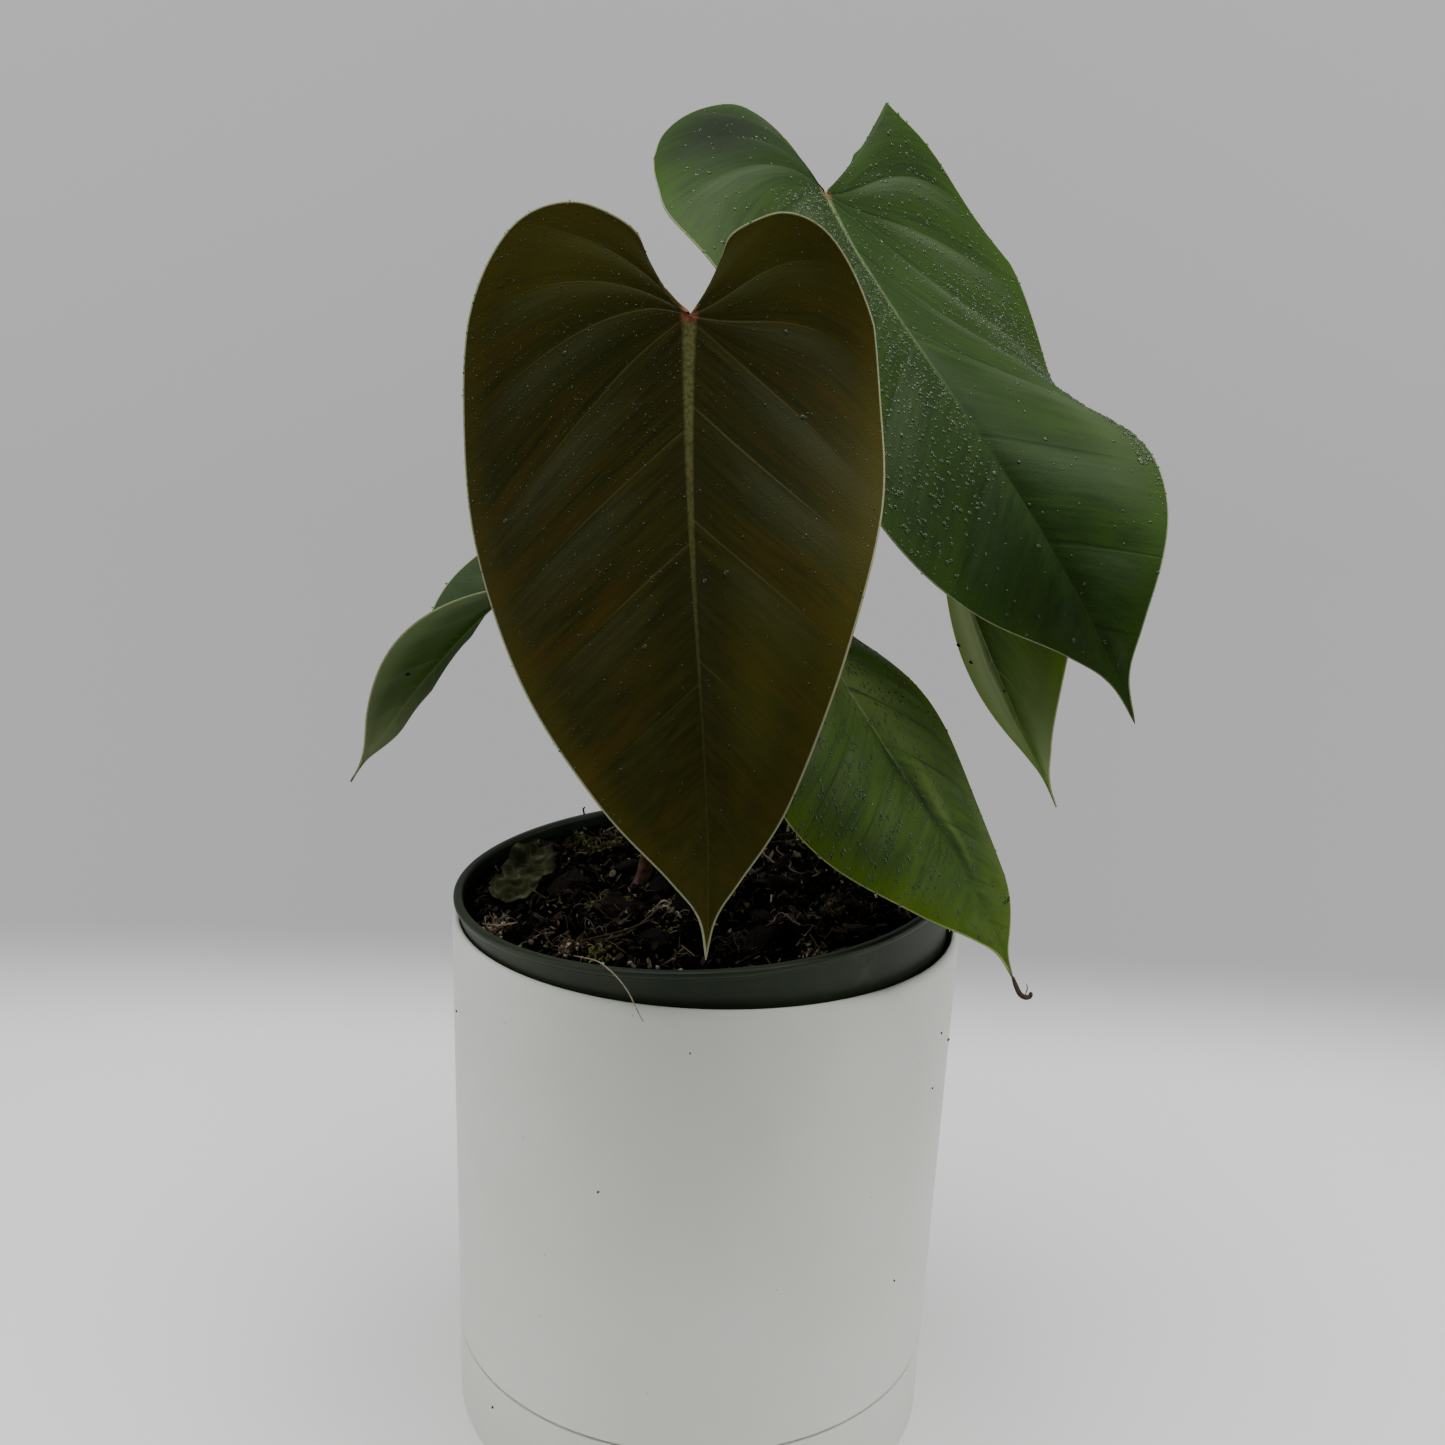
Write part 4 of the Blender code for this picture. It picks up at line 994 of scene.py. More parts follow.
def make_pots():
    """Saucer, ceramic pot and grower's pot, each from its turned profile."""
    ceramic = ceramic_surface()
    top = SEAM_HEIGHT - SEAM_GAP / 2
    inner, rim = outer_radius(top) - SAUCER_WALL, outer_radius(top)
    make_turned("flush_saucer", [
        (0.0, SAUCER_FLOOR), (inner, SAUCER_FLOOR), (inner, top), (rim, top),
        (FOOT_RADIUS, 0.0), (0.0, 0.0)], "saucer", ceramic, closed=False)
    bottom = SAUCER_FLOOR + SEAM_GAP
    shoulder = SEAM_HEIGHT + SEAM_GAP / 2
    foot = outer_radius(SEAM_HEIGHT) - SAUCER_WALL - FOOT_PLAY
    inside = foot - CERAMIC_WALL
    rolled = outer_radius(POT_TOP - LIP_ROLL)
    make_turned("white_pot", [
        (MOUTH_RADIUS, POT_TOP), (rolled - LIP_FLAT, POT_TOP), (rolled - ROLL_IN, POT_TOP - ROLL_DOWN),
        (rolled, POT_TOP - LIP_ROLL), (outer_radius(shoulder), shoulder),
        (foot, shoulder), (foot, bottom), (CERAMIC_DRAIN, bottom), (CERAMIC_DRAIN, CERAMIC_FLOOR),
        (inside, CERAMIC_FLOOR), (MOUTH_RADIUS - SLANT_IN, POT_TOP - MOUTH_DEPTH - SLANT_DOWN),
        (MOUTH_RADIUS, POT_TOP - MOUTH_DEPTH)], "ceramic_pot", ceramic, cut=1.9)
    low, base = -COLLAR_HEIGHT, -GROWER_HEIGHT
    floor = base + GROWER_FLOOR
    make_turned("grower_pot_shell", [
        (LIP_RADIUS - 0.9, 0.0), (LIP_RADIUS, -0.5), (LIP_RADIUS, -1.9), (COLLAR_RADIUS + 0.2, -2.8),
        (COLLAR_RADIUS, low), (NECK_RADIUS, low), (GROWER_FOOT_RADIUS, base), (GROWER_DRAIN, base),
        (GROWER_DRAIN, floor), (grower_inside(floor), floor), (NECK_RADIUS - GROWER_WALL, low + 0.3),
        (COLLAR_RADIUS - GROWER_WALL, low + COLLAR_STEP), (COLLAR_RADIUS - GROWER_WALL, -1.2),
        (LIP_RADIUS - 2.6, 0.0)], "grower_pot", plastic_surface(), cut=0.45, place=lean)


# Soil

def soil_height(x, y):
    """Relief of the bark mix: a low mound, with bumps from crossed waves of unlike lengths."""
    radius = np.hypot(x, y)
    mound = SOIL_MOUND * np.cos(math.pi / 2 * np.clip(radius / COLLAR_RADIUS, 0, 1))
    bumps = 0.9 * np.sin(x / 6.1 + 0.7 * np.sin(y / 7.3)) * np.sin(y / 5.3 + 1.1 * np.sin(x / 9.1))
    crumbs = 0.6 * np.sin(x / 2.9 + y / 4.1) * np.sin(y / 2.6 - x / 5.7)
    fade = np.clip((COLLAR_RADIUS - GROWER_WALL - radius) / 8, 0, 1)
    return mound + (bumps + crumbs) * fade


def soil_surface_height(x, y):
    """The relief with its finer crumbs: lattice noise at 6, 2.6 and 1.2 mm over the waves."""
    wall = COLLAR_RADIUS - GROWER_WALL - SEAM_GAP
    fade = np.clip((wall - np.hypot(x, y)) / 2.0, 0.25, 1)
    rough = (0.9 * lattice_noise(x, y, 6.0, 3) + 0.8 * lattice_noise(x, y, 2.6, 4)
             + 0.45 * lattice_noise(x, y, 1.2, 5))
    return SOIL_TOP + soil_height(x, y) + rough * fade


def bark_surface(name, stops, gloss=0.15):
    """Damp bark and peat: near black to brown by the grain, dull and fibrous."""
    made, tree = new_surface(name)
    place = add(tree, "TexCoord", output="Object")
    tone = add(tree, "Attribute", output="Fac", attribute_name="tone")
    grain = noise(tree, place, 700.0, 5.0, 0.7)
    mixed = add(tree, "Math", {0: grain, 1: 0.45, 2: tone}, operation="MULTIPLY_ADD")
    mixed = add(tree, "Math", {0: mixed, 1: 0.22}, operation="SUBTRACT")
    body = add(tree, "ValToRGB", {"Fac": mixed}, stops=stops)
    bumped = relief(tree, grain, 0.8, 0.0006)
    return finished(made, {
        "Base Color": body, "Roughness": 0.85, "IOR": 1.45, "Specular IOR Level": gloss, "Normal": bumped})


def make_soil_bed(surface):
    """The soil's body: a fine polar grid over the top, then the wall and floor inside the pot."""
    wall = COLLAR_RADIUS - GROWER_WALL - SEAM_GAP
    floor = -GROWER_HEIGHT + GROWER_FLOOR + SEAM_GAP
    neck = -COLLAR_HEIGHT + COLLAR_STEP
    rings = np.linspace(0, 1, SOIL_RINGS) * wall
    angle = np.arange(SOIL_STEPS) * TURN / SOIL_STEPS
    x, y = rings[:, None] * np.cos(angle), rings[:, None] * np.sin(angle)
    top = np.stack([x, y, soil_surface_height(x, y)], -1)
    sides = []
    for radius, height in ((wall, neck), (NECK_RADIUS - GROWER_WALL - SEAM_GAP, neck - 1.3),
                           (grower_inside(floor) - SEAM_GAP, floor), (0.0, floor)):
        sides.append(round_z(radius, angle, height)[None])
    points = np.concatenate([top, *sides]).reshape(-1, 3)
    tone = 0.35 + 0.28 * lattice_noise(points[:, 0], points[:, 1], 4.0, 9)
    faces = grid_faces(len(rings) + len(sides), SOIL_STEPS, closed=True)
    add_piece("soil_bed", lean(points), faces, [surface], "soil", dict(tone=tone))


def ball_grid(rows, columns):
    """Directions of a globe's grid, from the top pole to the bottom one."""
    polar = np.linspace(0, math.pi, rows)[:, None]
    around = np.arange(columns)[None, :] * TURN / columns
    return np.stack([np.sin(polar) * np.cos(around), np.sin(polar) * np.sin(around),
                     np.cos(polar) + 0 * around], -1).reshape(-1, 3)


def lumps(centres, sizes, tips, spins, grid, seed, block=0.7):
    """Many lumps at once: globes squared off by raising each direction to a power, roughened,
    scaled, tipped in x and y, spun about the upright and set at their centres. Returns points,
    faces and how many points a lump has."""
    rng = np.random.default_rng(seed)
    rows, columns = grid
    ball = ball_grid(rows, columns)
    squared = np.sign(ball) * np.abs(ball) ** block
    rough = rng.uniform(0.78, 1.18, (len(centres), rows * columns, 1))
    rough[:, :columns] = rough[:, :1]
    rough[:, -columns:] = rough[:, -1:]
    body = squared[None] * rough * np.asarray(sizes)[:, None, :]
    body[..., 2] += tips[:, None, 0] * body[..., 0] + tips[:, None, 1] * body[..., 1]
    cosine, sine = np.cos(spins)[:, None], np.sin(spins)[:, None]
    x = body[..., 0] * cosine - body[..., 1] * sine
    y = body[..., 0] * sine + body[..., 1] * cosine
    points = np.stack([x, y, body[..., 2]], -1) + np.asarray(centres)[:, None, :]
    faces = grid_faces(rows, columns, closed=True)
    every = (faces[None] + (rows * columns * np.arange(len(centres)))[:, None, None]).reshape(-1, 4)
    return points.reshape(-1, 3), every, rows * columns


def strewn(rng, count, reach):
    """Random places spread evenly over the soil's disc, as x and y."""
    radius = reach * rng.uniform(0.001, 1, count) ** 0.5
    turn = rng.uniform(0, TURN, count)
    return radius * np.cos(turn), radius * np.sin(turn)


def make_bark(surface, moss, straw):
    """The larger lumps, where the solids have them, and crumbs of bark, moss and straw between.

    Each lump draws numbers for corners that only the solids' lumps have, so that both stay in step.
    """
    rng = np.random.default_rng(CHUNK_SEED)
    centres, sizes, tips, spins = [], [], [], []
    for index in range(CHUNK_COUNT):
        radius = CHUNK_REACH * math.sqrt(rng.uniform(0.02, 1))
        turn = TURN * (index * GOLDEN_TURN + rng.uniform(0, 0.1))
        x, y = radius * math.cos(turn), radius * math.sin(turn)
        sizes.append(rng.uniform(CHUNK_SMALLEST, CHUNK_LARGEST))
        tips.append(rng.uniform(-CHUNK_TIP, CHUNK_TIP, 2))
        spins.append(rng.uniform(0, TURN))
        rng.uniform(0.8, 1.15, CHUNK_CORNERS)
        centres.append((x, y, SOIL_TOP + float(soil_height(x, y)) + 0.4))
    points, faces, size = lumps(*map(np.array, (centres, sizes, tips, spins)), LUMP_GRID, 21)
    tone = np.repeat(np.random.default_rng(2).uniform(0.1, 0.6, CHUNK_COUNT), size)
    add_piece("bark_lumps", lean(points), faces, [surface], values=dict(tone=tone), crease=35)

    rng = np.random.default_rng(31)
    for name, kind, count, low, high, tones in (
            ("bark_chips", surface, 700, (0.5, 0.35, 0.2), (2.6, 1.2, 0.6), (0.2, 1.0)),
            ("bark_slivers", surface, 620, (1.0, 0.16, 0.1), (4.0, 0.5, 0.25), (0.3, 1.0)),
            ("moss_crumbs", moss, 420, (0.3, 0.3, 0.2), (1.1, 0.8, 0.5), (0.2, 0.85)),
            ("straw_crumbs", straw, 300, (0.6, 0.15, 0.1), (2.2, 0.4, 0.25), (0.2, 0.9))):
        x, y = strewn(rng, count, SOIL_REACH)
        centres = np.stack([x, y, soil_surface_height(x, y) + rng.uniform(-0.1, 1.0, count)], -1)
        points, faces, size = lumps(
            centres, rng.uniform(low, high, (count, 3)), rng.uniform(-0.9, 0.9, (count, 2)),
            rng.uniform(0, TURN, count), CRUMB_GRID, 22)
        tone = np.repeat(tones[0] + (tones[1] - tones[0]) * rng.uniform(0, 1, count) ** 2.2, size)
        add_piece(name, lean(points), faces, [kind], values=dict(tone=tone), crease=35)


def heap(rng, x, y, spread, count, sizes):
    """Crumbs heaped round a place on the soil: their centres and sizes."""
    places = np.array([x, y]) + rng.normal(0, spread, (count, 2))
    middle = np.exp(-(((places - np.array([x, y])) ** 2).sum(1)) / (2 * spread**2))
    height = soil_surface_height(places[:, 0], places[:, 1]) + 1.6 * middle * rng.uniform(0, 1, count)
    return np.column_stack([places, height]), rng.uniform(*sizes, (count, 3))


def make_heaps(moss, straw):
    """Crumbly heaps of moss and of matted straw, where the photo shows them."""
    for name, kind, seed, tones, spots in (
            ("moss_heaps", moss, 81, (0.3, 0.95), (
                (-34.0, -19.5, 1.3, 130), (-23.5, -22.5, 1.1, 100), (-58.0, 41.0, 2.4, 150),
                (-43.0, 45.0, 2.4, 140), (-33.0, 37.0, 2.3, 170), (-30.0, -58.0, 2.0, 80),
                (-12.0, -46.0, 1.8, 80), (40.0, -30.0, 2.4, 100), (55.0, -12.0, 2.2, 80),
                (28.0, 30.0, 2.4, 80))),
            ("straw_heaps", straw, 82, (0.35, 1.0), (
                (-64.0, -32.5, 2.6, 150), (-8.5, -27.5, 2.2, 130), (-38.0, -52.0, 2.4, 60),
                (33.0, -58.0, 2.4, 50), (48.0, 8.0, 4.0, 70)))):
        rng = np.random.default_rng(seed)
        parts = [heap(rng, *spot, (0.25, 0.75)) for spot in spots]
        centres, sizes = (np.vstack(group) for group in zip(*parts))
        count = len(centres)
        points, faces, size = lumps(
            centres, sizes, rng.uniform(-0.6, 0.6, (count, 2)), rng.uniform(0, TURN, count), CRUMB_GRID, 83)
        tone = np.repeat(rng.uniform(*tones, count), size)
        add_piece(name, lean(points), faces, [kind], values=dict(tone=tone), crease=40)


def strands(x, y, lengths, radii, turns, bends, lifts, rise):
    """Many thin fibres at once, each a square section along an arc that lies on the soil.

    The arc runs out from its middle both ways and bends aside by the square of the way, with
    a ripple. It stands over the soil by lift * (1 - way^2) + rise * way, so an end may dip in.
    """
    count, knots, sides = len(x), 9, 4
    way = np.linspace(-1, 1, knots)[None, :]
    along = way * lengths[:, None] / 2
    kink = bends[:, None] * (way**2 + 0.5 * np.sin(way * 4 + bends[:, None] * 9) * 0.5)
    px = x[:, None] + along * np.cos(turns)[:, None] - kink * np.sin(turns)[:, None]
    py = y[:, None] + along * np.sin(turns)[:, None] + kink * np.cos(turns)[:, None]
    far = np.maximum(np.hypot(px, py) / FIBRE_REACH, 1)
    px, py = px / far, py / far
    pz = soil_surface_height(px, py) + lifts[:, None] * (1 - way**2) + rise[:, None] * way - 0.1
    route = np.stack([px, py, pz], -1)
    ahead = unit(np.gradient(route, axis=1))
    first = unit(np.cross(ahead, np.array([0.1, 0.2, 1.0])))
    second = np.cross(ahead, first)
    angle = np.arange(sides) * TURN / sides
    taper = radii[:, None] * (1 - 0.75 * np.abs(way) ** 3)
    ring = np.cos(angle)[:, None] * first[:, :, None, :] + np.sin(angle)[:, None] * second[:, :, None, :]
    body = route[:, :, None, :] + ring * taper[:, :, None, None]
    foot, top = (np.repeat(end[:, :, None], sides, 2) for end in (route[:, :1], route[:, -1:]))
    body = np.concatenate([foot, body, top], 1)
    faces = grid_faces(knots + 2, sides, closed=True)[:, ::-1]
    size = (knots + 2) * sides
    every = (faces[None] + (size * np.arange(count))[:, None, None]).reshape(-1, 4)
    return body.reshape(-1, 3), every, size


def make_fibres(surface):
    """Coir and root fibres, pale to reddish brown, lying every way over the bark."""
    rng = np.random.default_rng(41)
    count = 420
    x, y = strewn(rng, count, 73.0)
    lengths = rng.uniform(2, 10, count)
    radii = rng.uniform(0.08, 0.20, count)
    points, faces, size = strands(
        x, y, lengths, radii, rng.uniform(0, TURN, count), rng.normal(0, 0.6, count),
        rng.uniform(0.2, 2.0, count), rng.normal(0, 0.8, count))
    tone = np.repeat(rng.uniform(0, 1, count) ** 1.4, size)
    add_piece("coir_fibres", lean(points), faces, [surface], values=dict(tone=tone))


def join_parts(parts):
    """Several parts of points, faces and a tone, as one mesh's points, faces and tones."""
    points, faces, tones, start = [], [], [], 0
    for part_points, part_faces, tone in parts:
        points.append(part_points)
        faces.append(np.asarray(part_faces) + start)
        tones.append(np.full(len(part_points), tone))
        start += len(part_points)
    return np.vstack(points), np.vstack(faces), dict(tone=np.concatenate(tones))


def thread(route, radius, tone, knots=24, sides=6, taper=0.5):
    """A thin fibre along a smooth curve through the route, finer towards both ends."""
    curve = smooth_curve(route, knots)
    way = np.linspace(-1, 1, knots)
    points, faces, _, _ = swept(curve, radius * (1 - taper * np.abs(way) ** 3), sides)
    return points, faces, tone


def tuft(rng, x, y, spread, count, lengths, radii, tones):
    """A clump of curly strands heaped round a place on the soil."""
    parts = []
    for _ in range(count):
        start = np.array([x, y]) + rng.normal(0, spread, 2)
        turn = rng.uniform(0, TURN)
        length = rng.uniform(*lengths)
        ahead = np.array([math.cos(turn), math.sin(turn)])
        aside = np.array([-ahead[1], ahead[0]])
        steps = [start + ahead * length * k / 3 + aside * rng.normal(0, length * 0.09) for k in range(4)]
        steps = [step * min(1, SOIL_REACH / np.hypot(*step)) for step in steps]
        ground = soil_surface_height(np.array([s[0] for s in steps]), np.array([s[1] for s in steps]))
        lift = np.clip(rng.normal([0.3, 1.2, 1.2, 0.3], 0.7), 0, 3)
        route = [(s[0], s[1], g + up) for s, g, up in zip(steps, ground, lift)]
        parts.append(thread(route, rng.uniform(*radii), rng.uniform(*tones), knots=9, sides=4))
    return parts


def make_litter(surface):
    """Moss and straw clumps, long straws and pale root ends that lie where the photo shows them."""
    rng = np.random.default_rng(61)
    parts = []
    for x, y, spread, count, tones in (
            (-33.6, -18.9, 1.6, 10, (0.4, 0.7)), (-58.0, 40.0, 2.8, 16, (0.3, 0.6)),
            (-42.7, 44.0, 2.6, 16, (0.3, 0.6)), (-33.1, 35.9, 2.6, 20, (0.3, 0.6)),
            (-8.0, -27.0, 2.2, 40, (0.6, 1.0)), (-64.5, -31.5, 2.2, 24, (0.4, 0.9)),
            (-40.0, -50.0, 4.0, 24, (0.4, 0.8)), (-30.0, -44.0, 4.0, 20, (0.4, 0.7)),
            (43.0, -22.0, 3.0, 20, (0.3, 0.6)), (52.0, -30.0, 2.4, 16, (0.3, 0.6)),
            (30.0, -38.0, 2.4, 16, (0.4, 0.8)), (12.0, -52.0, 3.0, 16, (0.3, 0.6))):
        parts += tuft(rng, x, y, spread, count, (3, 8), (0.10, 0.24), tones)
    for route, radius, tone in (
            (((21.6, 24.5), (20.0, 17.0), (24.2, 9.5), (24.0, 2.0), (27.5, -4.5)), 0.40, 0.75),
            (((25.5, 26.0), (25.0, 18.0), (29.0, 12.0), (28.5, 3.0), (32.0, -1.0)), 0.34, 0.65),
            (((-29.5, -54.0), (-21.0, -44.0), (-12.8, -31.6)), 0.50, 0.55),
            (((-36.0, -49.0), (-24.0, -45.0), (-14.0, -39.0)), 0.34, 0.5),
            (((-68.0, -29.8), (-62.0, -33.0), (-55.9, -37.3)), 0.42, 0.8),
            (((2.8, -48.7), (3.4, -44.0), (5.1, -41.1)), 0.40, 0.9),
            (((44.0, -2.0), (52.0, 3.0), (60.0, 4.0)), 0.45, 0.35),
            (((36.0, 14.0), (47.0, 12.0), (57.0, 16.0)), 0.40, 0.35)):
        knots = [(x, y, float(soil_surface_height(np.array(x), np.array(y))) + 1.5) for x, y in route]
        parts.append(thread(knots, radius, tone))
    points, faces, values = join_parts(parts)
    add_piece("moss_and_straw", lean(points), faces, [surface], values=values)

    rng = np.random.default_rng(62)
    placed, strewn_about = 5, 26
    x = np.concatenate([[-28.1, -5.5, 22.3, -20.0, -12.0], rng.uniform(-60, 60, strewn_about)])
    y = np.concatenate([[-64.4, -70.0, -69.0, -66.0, -68.5], rng.uniform(-45, 45, strewn_about)])
    size = np.concatenate([rng.uniform(0.55, 0.95, placed), rng.uniform(0.3, 0.6, strewn_about)])[:, None]
    centres = np.stack([x, y, soil_surface_height(x, y) + 0.5], -1)
    count = len(centres)
    points, faces, _ = lumps(
        centres, size * rng.uniform(0.6, 1.2, (count, 3)), rng.uniform(-0.5, 0.5, (count, 2)),
        rng.uniform(0, TURN, count), GRIT_GRID, 23)
    add_piece("pale_grit", lean(points), faces, [surface],
              values=dict(tone=np.full(len(points), 0.95)), crease=35)


def make_dead_leaf(surface):
    """A dead leaf that leans up at the left: a crumpled sheet with a ragged edge, 0.5 mm thick.

    Across it s runs from -1 to 1 and along it t runs from -1 to 1. Its half width falls off
    as 1 - 0.4 t^2, its edge is frayed by lattice noise, and it stands higher at the back.
    """
    middle_x, middle_y, half_width, half_length = -58.5, 2.0, 9.0, 17.0
    s, t = np.meshgrid(np.linspace(-1, 1, 25), np.linspace(-1, 1, 37), indexing="xy")
    half = half_width * (1 - 0.4 * t**2) * (1 + 0.22 * lattice_noise(t * 9 + 40 * np.sign(s), t * 0, 1.5, 71))
    x = middle_x + s * half + 2.0 * t
    y = middle_y + half_length * t * (1 + 0.06 * lattice_noise(s * 6, t * 0, 1.3, 72))
    crumple = 1.1 * lattice_noise(x, y, 5.0, 73) + 0.5 * lattice_noise(x, y, 2.0, 74)
    z = 0.6 + 3.4 * t + 1.8 * s * s + crumple
    places = np.stack([x, y, z], -1)
    normal = unit(np.cross(*slopes(places)))
    top, bottom = places + normal * SHEET_HALF, places - normal * SHEET_HALF
    rows, columns = s.shape
    points = np.stack([top, bottom], 0).reshape(-1, 3)
    sheet = grid_faces(rows, columns)
    size = rows * columns
    edge = np.concatenate([np.arange(columns), np.arange(1, rows) * columns + columns - 1,
                           (rows - 1) * columns + np.arange(columns - 2, -1, -1),
                           np.arange(rows - 2, 0, -1) * columns])
    after = np.roll(edge, -1)
    rim = np.stack([edge, after, after + size, edge + size], 1)
    faces = np.vstack([sheet, sheet[:, ::-1] + size, rim])
    ridges = 1 - np.abs(lattice_noise(points[:, 0], points[:, 1], 2.2, 75)) * 2.2
    tone = 0.50 + 0.24 * np.clip(ridges, 0, 1) + 0.36 * lattice_noise(points[:, 0], points[:, 1], 3.4, 76)
    add_piece("dead_leaf_scrap", lean(points), faces, [surface], values=dict(tone=tone))


def make_strays(dark, pale):
    """The root hair that hangs over the lip, a dark thread at the back, and bits on the pot."""
    over_the_lip = ((-38, -60, 177.2), (-31, -71, 180.4), (-27.3, -77.2, 181.0), (-23.6, -79.7, 178.6),
                    (-20.7, -81.0, 175.2), (-18.6, -82.2, 171.6), (-16.4, -83.0, 167.6))
    points, faces, values = join_parts([thread(over_the_lip, 0.20, 0.9, knots=60, taper=0.3)])
    add_piece("stray_root_hair", points, faces, [pale], values=values)
    thread_route = ((-44.0, 64.0, -3.0), (-44.8, 65.8, 0.6), (-45.0, 66.2, 1.8), (-44.3, 66.4, 2.6))
    points, faces, values = join_parts([thread(thread_route, 0.35, 0.2)])
    add_piece("dark_thread", lean(points), faces, [dark], values=values)
    rng = np.random.default_rng(63)
    bits = ((-161.3, 143.6, 0.55), (-92.1, 158.4, 0.45), (-24.7, 145.9, 0.55), (-16.0, 138.5, 0.6),
            (-27.5, 128.9, 0.5), (-110.3, 111.1, 0.6), (-38.4, 69.3, 0.5), (-141.4, 18.4, 0.55),
            (35.0, 120.0, 0.5), (80.0, 60.0, 0.5), (140.0, 95.0, 0.45))
    angle, height, size = (np.array(column) for column in zip(*bits))
    angle = np.radians(angle)
    centres = round_z(outer_radius(height) + 0.1, angle, height)
    count = len(bits)
    points, faces, lump_size = lumps(
        centres, 0.75 * size[:, None] * rng.uniform(0.6, 1.3, (count, 3)),
        rng.uniform(-0.5, 0.5, (count, 2)), angle, GRIT_GRID, 24)
    add_piece("bits_on_the_pot", points, faces, [dark],
              values=dict(tone=np.repeat(rng.uniform(0.6, 1.0, count), lump_size)))


def make_blemishes(grids, dark, dry):
    """Dark scabs on three leaves, and the dried, curled end of the lower leaf's drip tip."""
    rng = np.random.default_rng(64)
    centres, sizes = [], []
    for name, side, v, w, size in (
            ("left", -1, 0.733, 0.43, 1.0), ("back", -1, 0.685, 0.97, 1.1), ("back", -1, 0.705, 0.83, 0.9),
            ("back", -1, 0.753, 0.14, 0.8),
            *(("lower", 1, 0.596 - 0.0009 * k, 0.40 + 0.065 * k, 0.34) for k in range(10)),
            *(("lower", 1, 0.790 + 0.0024 * k, 0.98 - 0.03 * k, 0.42 - 0.03 * k) for k in range(9))):
        grid = grids[name]
        at = nearest_point(grid, v, w)
        skin, normal = (grid[key].reshape(-1, 3)[at] for key in ("place", "normal"))
        centres.append(skin + side * SHEET_HALF * normal)
        sizes.append(size * np.array([1.0, 0.8, 0.6]) * rng.uniform(0.8, 1.2, 3))
    count = len(centres)
    points, faces, _ = lumps(
        np.array(centres), np.array(sizes), rng.uniform(-0.3, 0.3, (count, 2)),
        rng.uniform(0, TURN, count), SCAB_GRID, 25, block=0.9)
    add_piece("scabs_on_leaves", points, faces, [dark],
              values=dict(tone=np.full(len(points), 0.15)))
    tip = np.array(LOWER_TIP)
    curl = tip + np.array([(0, 0, 0.4), (1.0, -0.5, -2.0), (2.2, -1.0, -4.2), (3.8, -1.1, -5.2),
                           (5.2, -1.0, -4.8), (5.4, -0.8, -3.7)])
    hair = tip + np.array([(3.6, -1.1, -4.9), (4.2, -0.9, -3.0), (4.0, -0.6, -1.2)])
    points, faces, values = join_parts([
        thread(curl, 0.75, 0.55, knots=30, sides=10, taper=0.45), thread(hair, 0.16, 0.3, knots=12)])
    add_piece("dried_tip_of_lower_leaf", points, faces, [dry], values=values)


def main_camera():
    """The photo's view, as a point, a way to look, a turn about that way and a lens."""
    place = np.array([0.0, -0.4835, 0.3460])
    look = unit(np.array([0.0056, 0.9744, -0.2246]))
    level = unit(np.cross(look, [0, 0, 1]))
    upright = np.cross(level, look)
    tilt = math.radians(2.30)
    right = level * math.cos(tilt) + upright * math.sin(tilt)
    up = upright * math.cos(tilt) - level * math.sin(tilt)
    data = bpy.data.cameras.new("photo_view")
    data.lens = 38.62
    data.sensor_width = 36.0
    camera = new_object("photo_view", data)
    stand(camera, right, up, -look, place)
    bpy.context.scene.camera = camera


def floor_surface():
    """Plain pale floor that fades out into the backdrop: opaque within a rounded oblong, then
    clear, by the fourth root of the summed fourth powers of 0.55 x and y."""
    made, tree = new_surface("pale_floor")
    place = add(tree, "TexCoord", output="Object")
    parts = []
    for part, scale in zip(components(tree, place), (0.55, 1.0)):
        part = add(tree, "Math", {0: part, 1: scale}, operation="MULTIPLY")
        part = add(tree, "Math", {0: part}, operation="ABSOLUTE")
        parts.append(add(tree, "Math", {0: part, 1: 4.0}, operation="POWER"))
    total = add(tree, "Math", {0: parts[0], 1: parts[1]}, operation="ADD")
    away = add(tree, "Math", {0: total, 1: 0.25}, operation="POWER")
    solid = smooth_range(tree, away, 0.24, 0.43, 1.0, 0.0)
    return finished(made, {
        "Base Color": linear("#f2f2f2"), "Roughness": 0.8, "Specular IOR Level": 0.2, "Alpha": solid,
        "Emission Color": (1.0, 1.0, 1.0, 1.0), "Emission Strength": 0.05})


